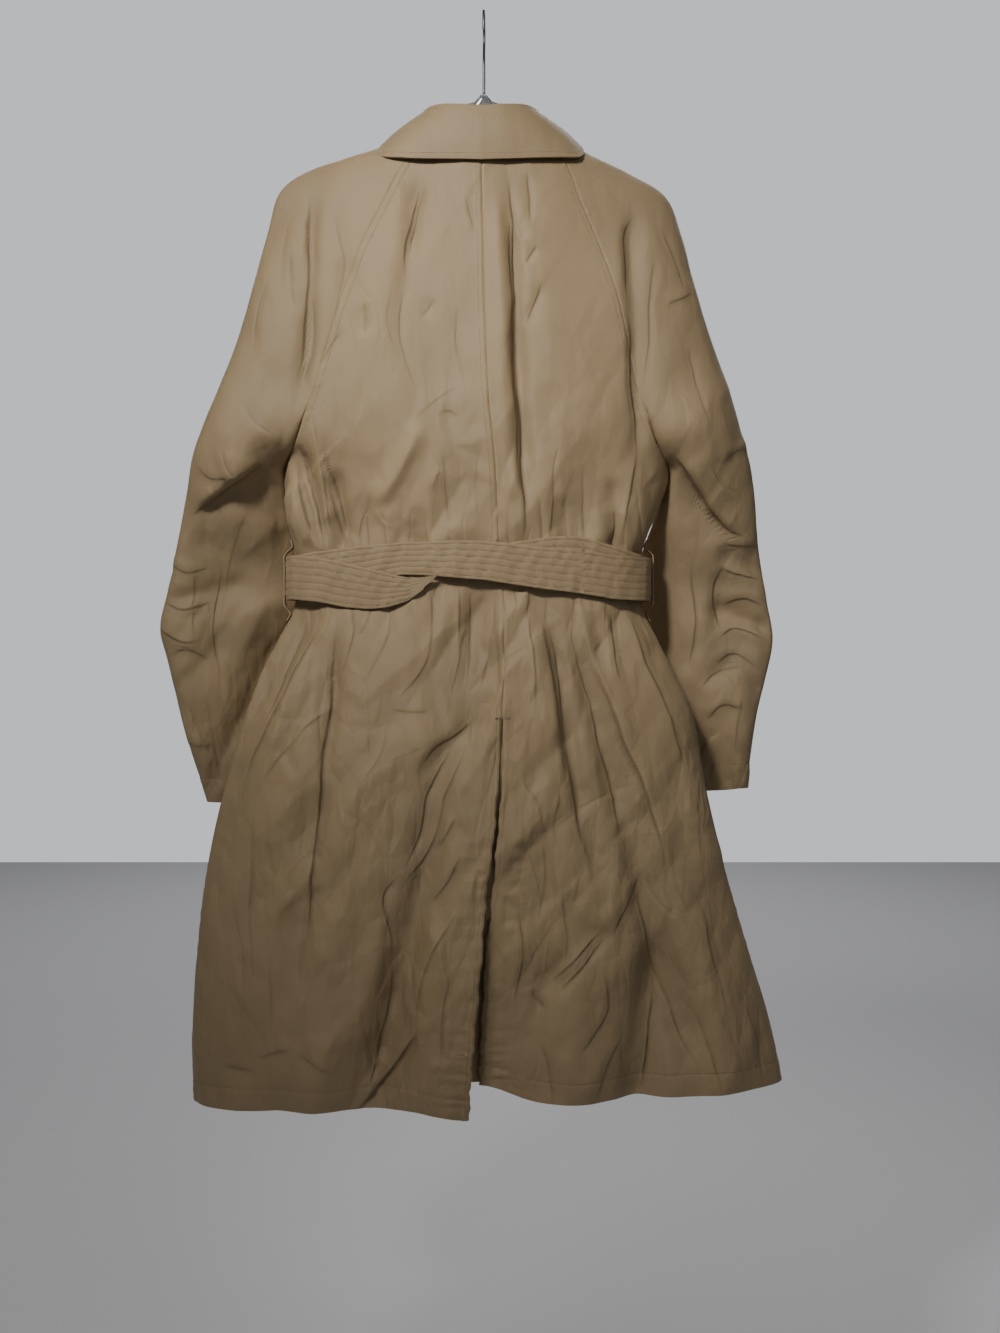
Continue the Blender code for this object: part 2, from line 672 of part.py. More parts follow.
def build_collar(material, grids):
    angles = np.linspace(-180, 180, 2 * COLLAR_STEPS + 1)
    ring = collar_ring(grids, angles)
    up = np.array([0, 0, 1.0])
    out = ring["out"]
    wall_out = COLLAR_WALL * out
    roll_centre = ring["fold"] - COLLAR_ROLL * up
    top = roll_centre - COLLAR_ROLL * out
    lift = STAND_LIFT + STAND_FRONT_LIFT * ease((np.abs(angles) - 105) / 40)
    bottom = ring["neck"] + lift[:, None] * up - 1.7 * out
    stand = np.array([bottom, (bottom + top) / 2, top - STAND_DROP * up])
    add_wall("collar_stand", stand, stand + wall_out, material)
    outer = []
    for turn in (180, 135, 90, 45, 10):
        way = math.cos(math.radians(turn)) * out + math.sin(math.radians(turn)) * up
        outer.append((roll_centre + COLLAR_ROLL * way, way))
    start = outer[-1][0]
    for part in (0.25, 0.5, 0.75, 1.0):
        point = start + (ring["edge"] - start) * part
        bow = COLLAR_BOW * 4 * part * (1 - part)
        slope = ring["edge"] - start
        flat = out - slope * (np.sum(out * slope, axis=1) / np.sum(slope**2, axis=1))[:, None]
        way = flat / np.linalg.norm(flat, axis=1, keepdims=True)
        outer.append((point + bow * way, way))
    grid = np.array([point for point, _ in outer])
    inner = np.array([point - COLLAR_WALL * way for point, way in outer])
    add_wall("collar_fall", grid, inner, material)


def waist_ring(offset):
    """A closed level curve round the body where the belt sits, moved out by an offset."""
    loops = []
    for station in np.linspace(*BELT_STATIONS, 7):
        loops.append(waist_loop(station))
    loops = np.array(loops)
    middle = loops.mean(axis=(0, 1))
    reach = np.linalg.norm((loops - middle) * (1, 3.4), axis=2)
    widest = np.argmax(reach, axis=0)
    loop = loops[widest, np.arange(loops.shape[1])]
    tangent = np.roll(loop, -1, axis=0) - np.roll(loop, 1, axis=0)
    out = np.stack([-tangent[:, 1], tangent[:, 0]], axis=1)
    out /= np.linalg.norm(out, axis=1, keepdims=True)
    return loop + offset * out


def waist_loop(station, count=90):
    """The body's section at the waist: back from right to left, then front from left to right."""
    centre = BODY.at("centre", station)
    turns = np.linspace(0, 2 * math.pi, 4 * count, endpoint=False)
    side_y = BODY.at("side_y", station)
    cos, sin = np.cos(turns), np.sin(turns)
    half = np.where(cos > 0, BODY.at("right", station) - centre, centre - BODY.at("left", station))
    depth = np.where(sin > 0, side_y - BODY.at("back_y", station),
                     BODY.at("front_y", station) + LAP_LIFT - side_y)
    power = 2 / SECTION_POWER
    x = centre + half * np.sign(cos) * np.abs(cos) ** power
    y = side_y - depth * np.sign(sin) * np.abs(sin) ** power
    return np.stack([x, y], axis=1)


class WaistCurve:
    """The waist's loop, measured along its length from the right keeper, across the back first."""

    def __init__(self):
        ring = even_loop(waist_ring(0.0), 600)
        self.points = ring
        step = np.linalg.norm(np.roll(ring, -1, axis=0) - ring, axis=1)
        self.length = step.sum()
        self.along = np.concatenate([[0], np.cumsum(step)])[:-1]
        tangent = np.roll(ring, -1, axis=0) - np.roll(ring, 1, axis=0)
        out = np.stack([-tangent[:, 1], tangent[:, 0]], axis=1)
        self.out = out / np.linalg.norm(out, axis=1, keepdims=True)
        self.left = self.along[np.argmin(ring[:, 0])]

    def at(self, distance, offset):
        """Points at distances round the loop, each moved out by its own offset."""
        distance = np.mod(distance, self.length)
        where = np.concatenate([self.along, [self.length]])
        wrapped = np.concatenate([self.points, self.points[:1]])
        outs = np.concatenate([self.out, self.out[:1]])
        x, y = (np.interp(distance, where, wrapped[:, k]) for k in (0, 1))
        way = np.stack([np.interp(distance, where, outs[:, k]) for k in (0, 1)], axis=1)
        return np.stack([x, y], axis=1) + offset[:, None] * way

    def of_x(self, x):
        """The distance at which the back half of the loop passes an x."""
        back = self.along <= self.left
        return np.interp(-np.asarray(x, float), -self.points[back, 0], self.along[back])


def even_loop(loop, count):
    wrapped = np.concatenate([loop, loop[:1]])
    step = np.linalg.norm(np.diff(wrapped, axis=0), axis=1)
    along = np.concatenate([[0], np.cumsum(step)])
    wanted = np.linspace(0, along[-1], count, endpoint=False)
    return np.stack([np.interp(wanted, along, wrapped[:, k]) for k in (0, 1)], axis=1)


def belt_route(curve):
    """Distance, level, half width and layer along the belt, from one tucked end to the other."""
    first = np.array(BELT_FIRST_PASS, float)
    second = np.array(BELT_SECOND_PASS, float)
    lap = curve.length
    rows = [(curve.of_x(168) - BELT_END, BELT_FRONT_LEVEL, BELT_HALF, 0)]
    rows += [(curve.of_x(x), z, half, layer) for x, z, half, layer in first]
    rows += [(curve.left + (lap - curve.left) * part, BELT_FRONT_LEVEL, BELT_HALF, 1)
             for part in (0.15, 0.5, 0.85)]
    rows += [(lap + curve.of_x(x), z, half, layer) for x, z, half, layer in second]
    rows.append((lap + curve.of_x(-200) + BELT_END, BELT_FRONT_LEVEL, BELT_HALF, 0))
    return np.array(rows)


def build_belt(material, curve):
    route = belt_route(curve)
    steps = int((route[-1, 0] - route[0, 0]) / BELT_STEP)
    distance = np.linspace(route[0, 0], route[-1, 0], steps + 1)
    at_keepers = [0, curve.left, curve.length, curve.length + curve.left]
    nearest = [np.argmin(np.abs(distance - place)) for place in at_keepers]
    distance[nearest] = at_keepers
    crossing = np.concatenate([route[6:13, 0], route[-10:-4, 0]])
    far = np.abs(distance[:, None] - crossing).min(axis=1) > BELT_STEP / 4
    distance = np.sort(np.concatenate([distance[far], crossing]))
    level, half, layer = (np.interp(distance, route[:, 0], route[:, k]) for k in (1, 2, 3))
    under = BELT_OFF_CLOTH + BELT_PITCH * layer
    inner = curve.at(distance, under)
    outer = curve.at(distance, under + BELT_THICK)
    walls = []
    for face in (outer, inner):
        rows = []
        for part in (1, 0, -1):
            rows.append(np.column_stack([face, level + part * half]))
        walls.append(np.array(rows))
    add_wall("belt", walls[0], walls[1], material)


def build_keepers(material, curve):
    """A loop over both layers of the belt at each side seam."""
    clear = BELT_OFF_CLOTH + BELT_PITCH + BELT_THICK + PLY_GAP
    middle_level = (KEEPER_TOP + KEEPER_BOTTOM) / 2
    for side, distance in (("left", curve.left), ("right", 0.0)):
        sign = -1 if side == "left" else 1
        belt_x = curve.at(np.array([distance]), np.zeros(1))[0, 0]
        walls = []
        for thick in (KEEPER_THICK, 0):
            rows = []
            for drop, off, on_belt in KEEPER_PROFILE:
                level = middle_level + drop * (KEEPER_TOP - KEEPER_BOTTOM) / 2
                station = station_of_level(level)
                seat = belt_x + sign * clear if on_belt else BODY.at(side, station)
                across = BODY.at("side_y", station) + np.linspace(-KEEPER_HALF, KEEPER_HALF, 4)
                rows.append(np.column_stack([np.full(4, seat + sign * (off + thick)), across,
                                             np.full(4, level)]))
            walls.append(np.array(rows))
        add_wall(f"belt_keeper_{side}", walls[0], walls[1], material)


def rings_solid(name, rings, material):
    """A closed solid through rings of points, capped at both ends."""
    rings = np.asarray(rings)
    rows, count = rings.shape[:2]
    faces = [[row * count + k, row * count + (k + 1) % count,
              (row + 1) * count + (k + 1) % count, (row + 1) * count + k]
             for row in range(rows - 1) for k in range(count)]
    faces.append(list(range(count)))
    faces.append([(rows - 1) * count + k for k in range(count)])
    add_object(name, rings.reshape(-1, 3), faces, material)


def build_buttons(material, grids):
    """Round buttons down the centre of the left front, each square to the cloth under it."""
    grid = grids["front_left"][0]
    normals = shared_normals({"front_left": grids["front_left"]})["front_left"]
    turn = np.linspace(0, 2 * math.pi, BUTTON_SIDES, endpoint=False)
    for number, level in enumerate(BUTTON_LEVELS, start=1):
        centre = BODY.at("centre", station_of_level(level))
        away = np.hypot(grid[..., 0] - centre, grid[..., 2] - level)
        row, column = np.unravel_index(np.argmin(away), away.shape)
        out = normals[row, column]
        seat = grid[row, column] + BUTTON_LIFT * out
        across = np.cross(out, (0, 0, 1))
        across /= np.linalg.norm(across)
        up = np.cross(across, out)
        rings = [seat + height * out + radius * (np.outer(np.cos(turn), across)
                                                 + np.outer(np.sin(turn), up))
                 for radius, height in BUTTON_PROFILE]
        rings_solid(f"button_{number}", rings, material)


def hanger_top(side):
    """The top line of one hanger arm, from the middle out to its tip."""
    sign = -1 if side == "left" else 1
    reach = HANGER_REACH[side]
    rows = [(sign * x, z) for x, z in HANGER_BENDS]
    shell_rows = np.arange(0, reach + 1, ROW_STEP_ABOVE)
    stations = np.append(np.arange(0.25, reach, ROW_STEP_ABOVE / 2), reach)
    seam = np.stack([np.interp(stations, shell_rows, OUTER[side].at(name, shell_rows))
                     for name in ("x", "z")], axis=1)
    slope = np.gradient(seam, axis=0)
    down = np.stack([slope[:, 1], -slope[:, 0]], axis=1)
    down *= np.where(down[:, 1] > 0, -1, 1)[:, None]
    down /= np.linalg.norm(down, axis=1, keepdims=True)
    return rows + [tuple(point) for point in seam + HANGER_CLEAR * down]


def build_hanger(material):
    left = hanger_top("left")
    line = np.array(left[:0:-1] + hanger_top("right"))
    slope = np.gradient(line, axis=0)
    down = np.stack([slope[:, 1], -slope[:, 0]], axis=1)
    down[:, 0] *= ease((np.abs(line[:, 0]) - 15) / 30)
    down /= np.linalg.norm(down, axis=1, keepdims=True)
    profile = HANGER_PROFILE + [(-y, drop) for y, drop in HANGER_PROFILE[:0:-1]]
    tip = np.minimum(np.arange(len(line)), np.arange(len(line))[::-1])
    size = np.where(tip == 0, 0.45, np.where(tip == 1, 0.8, 1.0))
    rings = np.array([[(x + down_x * drop * scale, y * min(1.0, scale + 0.2),
                        z + down_z * drop * scale) for y, drop in profile]
                      for (x, z), (down_x, down_z), scale in zip(line, down, size)])
    rings_solid("hanger_body", rings, material)


def tube(name, path, radius, material, sides=8):
    """A round closed tube along a smooth path in the YZ plane."""
    path = np.array(path, float)
    tangent = np.gradient(path, axis=0)
    tangent /= np.linalg.norm(tangent, axis=1, keepdims=True)
    side = np.array([1.0, 0, 0])
    turn = np.linspace(0, 2 * math.pi, sides, endpoint=False)
    rings = [middle + radius * (np.outer(np.cos(turn), side)
                                + np.outer(np.sin(turn), np.cross(side, way)))
             for middle, way in zip(path, tangent)]
    rings_solid(name, rings, material)


def hook_path():
    """Up from the hanger, out to one side, over the top and down to the open end."""
    middle = HOOK_WIRE - HOOK_RADIUS
    path = [(0, 0, z) for z in np.linspace(HOOK_FOOT, -56, 3)]
    for part in np.linspace(0.2, 1, 6):
        path.append((0, HOOK_RADIUS * ease(part), -56 + (middle + 56) * part))
    for turn in np.radians(np.linspace(14, 196, 15)):
        path.append((0, HOOK_RADIUS * math.cos(turn), middle + HOOK_RADIUS * math.sin(turn)))
    return path


def build_hook(material):
    tube("hanger_hook", hook_path(), HOOK_WIRE, material)


def main():
    for item in list(bpy.data.objects):
        bpy.data.objects.remove(item)
    cloth = material_of("coat_cloth", CLOTH_COLOUR, 0.75)
    grids = build_shell(cloth)
    build_vent(cloth)
    build_collar(material_of("collar_cloth", CLOTH_COLOUR, 0.75), grids)
    curve = WaistCurve()
    belt = material_of("belt_cloth", CLOTH_COLOUR, 0.72)
    build_belt(belt, curve)
    build_keepers(belt, curve)
    build_buttons(material_of("button_horn", (0.10, 0.06, 0.035), 0.35), grids)
    build_hanger(material_of("clear_plastic", HANGER_COLOUR, 0.12))
    build_hook(material_of("steel_wire", (0.6, 0.6, 0.6), 0.3, 1.0))


main()
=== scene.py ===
"""A belted raglan coat of cotton gabardine on a clear plastic hanger, dressed in its finishes.

Frame: +Z up, origin under the top of the hook, where a rail carries it. The coat's back faces -Y
and the wearer's left is at -X. Sizes in the tables are millimetres; MM makes them metres.
A station is a place in a table: station 8.5 lies halfway between its rows 8 and 9.
"""

import logging
import math
from collections.abc import Sequence
from dataclasses import dataclass, field
from enum import Enum

import bmesh
import bpy
import numpy as np
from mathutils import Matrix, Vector
from mathutils.geometry import delaunay_2d_cdt


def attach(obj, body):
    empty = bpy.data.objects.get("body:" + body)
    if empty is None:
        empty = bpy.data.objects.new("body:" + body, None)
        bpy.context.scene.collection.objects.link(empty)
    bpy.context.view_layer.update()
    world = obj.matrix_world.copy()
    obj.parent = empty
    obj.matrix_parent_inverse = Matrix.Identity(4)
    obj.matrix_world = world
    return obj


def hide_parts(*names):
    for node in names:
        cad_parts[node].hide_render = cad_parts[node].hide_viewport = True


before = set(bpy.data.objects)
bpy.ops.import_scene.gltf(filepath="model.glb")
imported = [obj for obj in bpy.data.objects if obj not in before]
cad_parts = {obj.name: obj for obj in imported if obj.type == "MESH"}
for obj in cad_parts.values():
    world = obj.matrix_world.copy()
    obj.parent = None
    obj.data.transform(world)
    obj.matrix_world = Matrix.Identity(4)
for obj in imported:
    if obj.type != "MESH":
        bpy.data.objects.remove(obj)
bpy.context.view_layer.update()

log = logging.getLogger("coat")

MM = 0.001
BODY_NAME = "root"
Colour = tuple[float, float, float]


class Side(Enum):
    """A side of the coat, as the wearer has it."""

    LEFT = "left"
    RIGHT = "right"

    @property
    def sign(self) -> int:
        """The way along X that this side lies."""
        return -1 if self is Side.LEFT else 1


class Face(Enum):
    """Which way a piece of the shell faces."""

    BACK = "back"
    FRONT = "front"

    @property
    def sign(self) -> int:
        """The way along Y that this face looks."""
        return -1 if self is Face.BACK else 1


class Zone(Enum):
    """The part of the shell that a crease belongs to."""

    ALL = "all"
    BODY = "body"
    SLEEVE = "sleeve"


class Relief(Enum):
    """The cross-section of a crease."""

    TROUGH = "trough"
    RIDGE = "ridge"
    TUCK = "tuck"
    CREST = "crest"
    VALLEY = "valley"
    STEP = "step"


BOTH_FACES = (Face.BACK, Face.FRONT)

# Cloth and seams
WALL = 1.5
UNDERARM_INSET = 0.5
UNDERARM = 8
BLEND_FROM = 6
SECTION_POWER = 2.4
SHOULDER_POWER = 1.5
SLEEVE_POWER = 2.2
NECK_DIP = {Face.BACK: 6, Face.FRONT: 46}
HEM_TILT = 0.037
HEM_START = 17
BODY_COLUMNS = "z left right centre side_y back_y front_y"
BODY_ROWS = [
    (-140, -43, 39, -3, -36, -43, 42),
    (-168, -80, 83, -2, -38, -47, 47),
    (-218, -106, 104, -1, -40, -52, 52),
    (-264, -129, 123, 0, -42, -55, 55),
    (-316, -149, 141, 1, -43, -57, 56),
    (-374, -167, 155, 3, -43, -58, 56),
    (-428, -184, 168, 6, -40, -58, 54),
    (-469, -200, 183, 10, -26, -57, 52),
    (-504, -217, 201, 13, 0, -56, 49),
    (-546, -213, 187, 15, -2, -53, 46),
    (-586, -206, 172, 17, -4, -50, 44),
    (-642, -205, 172, 22, -4, -50, 44),
    (-683, -223, 188, 22, -10, -58, 46),
    (-718, -240, 205, 22, -15, -64, 48),
    (-765, -257, 225, 20, -19, -70, 50),
    (-828, -275, 236, 18, -20, -76, 50),
    (-888, -290, 247, 13, -20, -80, 50),
    (-951, -301, 265, 6, -20, -83, 52),
    (-1017, -308, 284, 0, -20, -86, 54),
    (-1082, -312, 303, -5, -20, -88, 57),
    (-1128, -313, 313, -8, -20, -90, 59),
    (-1165, -312, 319, -9, -20, -90, 60),
]
VENT_START = 14
VENT_COLUMNS = "slit left_lip right_lip left_drop right_drop"
VENT_ROWS = [
    (1, 0, 0, 0, 0),
    (4, 1, 1, 0, 0),
    (3.4, 2, 3, 0, 0),
    (6, 6, 4, 0, 0),
    (3.4, 11, 7, 0, 2),
    (6, 14, 9, 3, 8),
    (8, 14, 10, 6, 14),
    (10, 14, 10, 9, 20),
]
LIP_REACH = 45
SLEEVE_OUTER = {
    Side.LEFT: [
        (-66, -124), (-125, -152), (-185, -169), (-222, -194), (-236, -240), (-251, -296),
        (-270, -360), (-292, -417), (-316, -475), (-327, -522), (-339, -577), (-351, -630),
        (-359, -668), (-350, -712), (-337, -766), (-322, -822), (-310, -863),
    ],
    Side.RIGHT: [
        (59, -124), (112, -152), (161, -176), (199, -201), (216, -245), (229, -297),
        (247, -357), (268, -413), (284, -470), (294, -525), (304, -590), (313, -640),
        (320, -682), (312, -727), (302, -770), (297, -812), (295, -847),
    ],
}
SLEEVE_INNER = {
    Side.LEFT: [(-214, -543), (-205, -597), (-197, -650), (-197, -688),
                (-198, -726), (-196, -778), (-190, -830), (-184, -870)],
    Side.RIGHT: [(190, -543), (172, -602), (172, -652), (174, -690),
                 (178, -736), (179, -780), (176, -820), (171, -854)],
}
INNER_Y = [24, 46, 54, 58, 62, 67, 72, 78]
DRAPE_COLUMNS = "outer_y back_bulge front_bulge"
DRAPE_ROWS = [(0, 40, 40)] * 7 + [
    (3, 40, 41), (6, 40, 42), (14, 32, 39), (22, 27, 35), (26, 26, 32), (28, 27, 31),
    (32, 26, 31), (36, 25, 32), (40, 24, 32), (44, 24, 32),
]
LAP = 30
LAP_LIFT = 2.75
LAP_EASE = 40

# Main folds, the same as the solids have: zone x0 z0 x1 z1 width0 width1 depth0 depth1
MAIN_FOLDS = {
    Face.BACK: [
        ("all", 26, -189, 45, -578, 9, 10, -7, -8),
        ("all", 14, -200, 28, -560, 10, 10, 3, 2),
        ("all", -189, -204, -192, -440, 10, 10, -7, -4),
        ("all", 158, -215, 163, -505, 11, 11, -6, -6),
        ("all", -69, -194, -86, -330, 10, 12, -6, -3),
        ("all", -161, -226, -125, -357, 11, 12, -4, -3),
        ("body", -200, -478, -174, -576, 10, 10, -7, -7),
        ("body", -156, -510, -152, -590, 10, 9, -6, -7),
        ("body", -66, -462, -114, -540, 11, 11, 5, 3),
        ("body", 138, -520, 142, -592, 10, 9, -4, -6),
        ("body", 84, -540, 88, -592, 10, 9, -3, -5),
        ("body", -70, -550, -66, -592, 9, 9, -2, -4),
        ("body", -186, -650, -262, -840, 11, 16, -7, -6),
        ("body", -158, -668, -196, -1052, 10, 24, -4, -12),
        ("body", -30, -784, -120, -1170, 11, 24, -4, -24),
        ("body", -14, -773, -67, -825, 10, 10, -5, -3),
        ("body", 68, -650, 112, -936, 11, 18, -7, -6),
        ("body", 90, -650, 222, -1140, 11, 22, -7, -15),
        ("body", 118, -660, 140, -760, 10, 11, -5, -3),
        ("body", 118, -989, 64, -1040, 14, 14, -7, -5),
        ("body", 178, -1000, 160, -1170, 14, 20, -8, -22),
        ("body", 88, -873, 98, -1168, 24, 34, 6, 15),
        ("body", 222, -957, 252, -1165, 24, 30, 3, 14),
        ("body", -174, -880, -172, -1176, 26, 34, 2, 12),
        ("body", -44, -980, -46, -1176, 20, 26, 3, 10),
        ("sleeve", -352, -640, -262, -620, 10, 12, -6, -4),
        ("sleeve", 316, -610, 262, -590, 10, 12, -6, -4),
        ("sleeve", 314, -668, 256, -650, 10, 12, -7, -5),
        ("sleeve", 306, -738, 262, -712, 10, 12, -5, -3),
    ],
    Face.FRONT: [
        ("all", -188, -215, -180, -420, 11, 11, -6, -5),
        ("all", 158, -215, 160, -430, 11, 11, -6, -5),
        ("all", -78, -230, -100, -400, 11, 12, -5, -3),
        ("all", 84, -240, 92, -420, 11, 12, -5, -3),
        ("body", -150, -520, -146, -590, 10, 9, -4, -6),
        ("body", 128, -520, 124, -592, 10, 9, -4, -6),
        ("body", -140, -650, -214, -1165, 14, 38, -6, -13),
        ("body", -84, -650, -98, -1165, 14, 38, -5, -13),
        ("body", 98, -650, 122, -1160, 14, 38, -5, -13),
        ("body", 150, -650, 238, -1150, 14, 38, -6, -13),
        ("sleeve", -350, -648, -264, -630, 10, 12, -6, -4),
        ("sleeve", 314, -660, 252, -640, 10, 12, -6, -4),
    ],
}

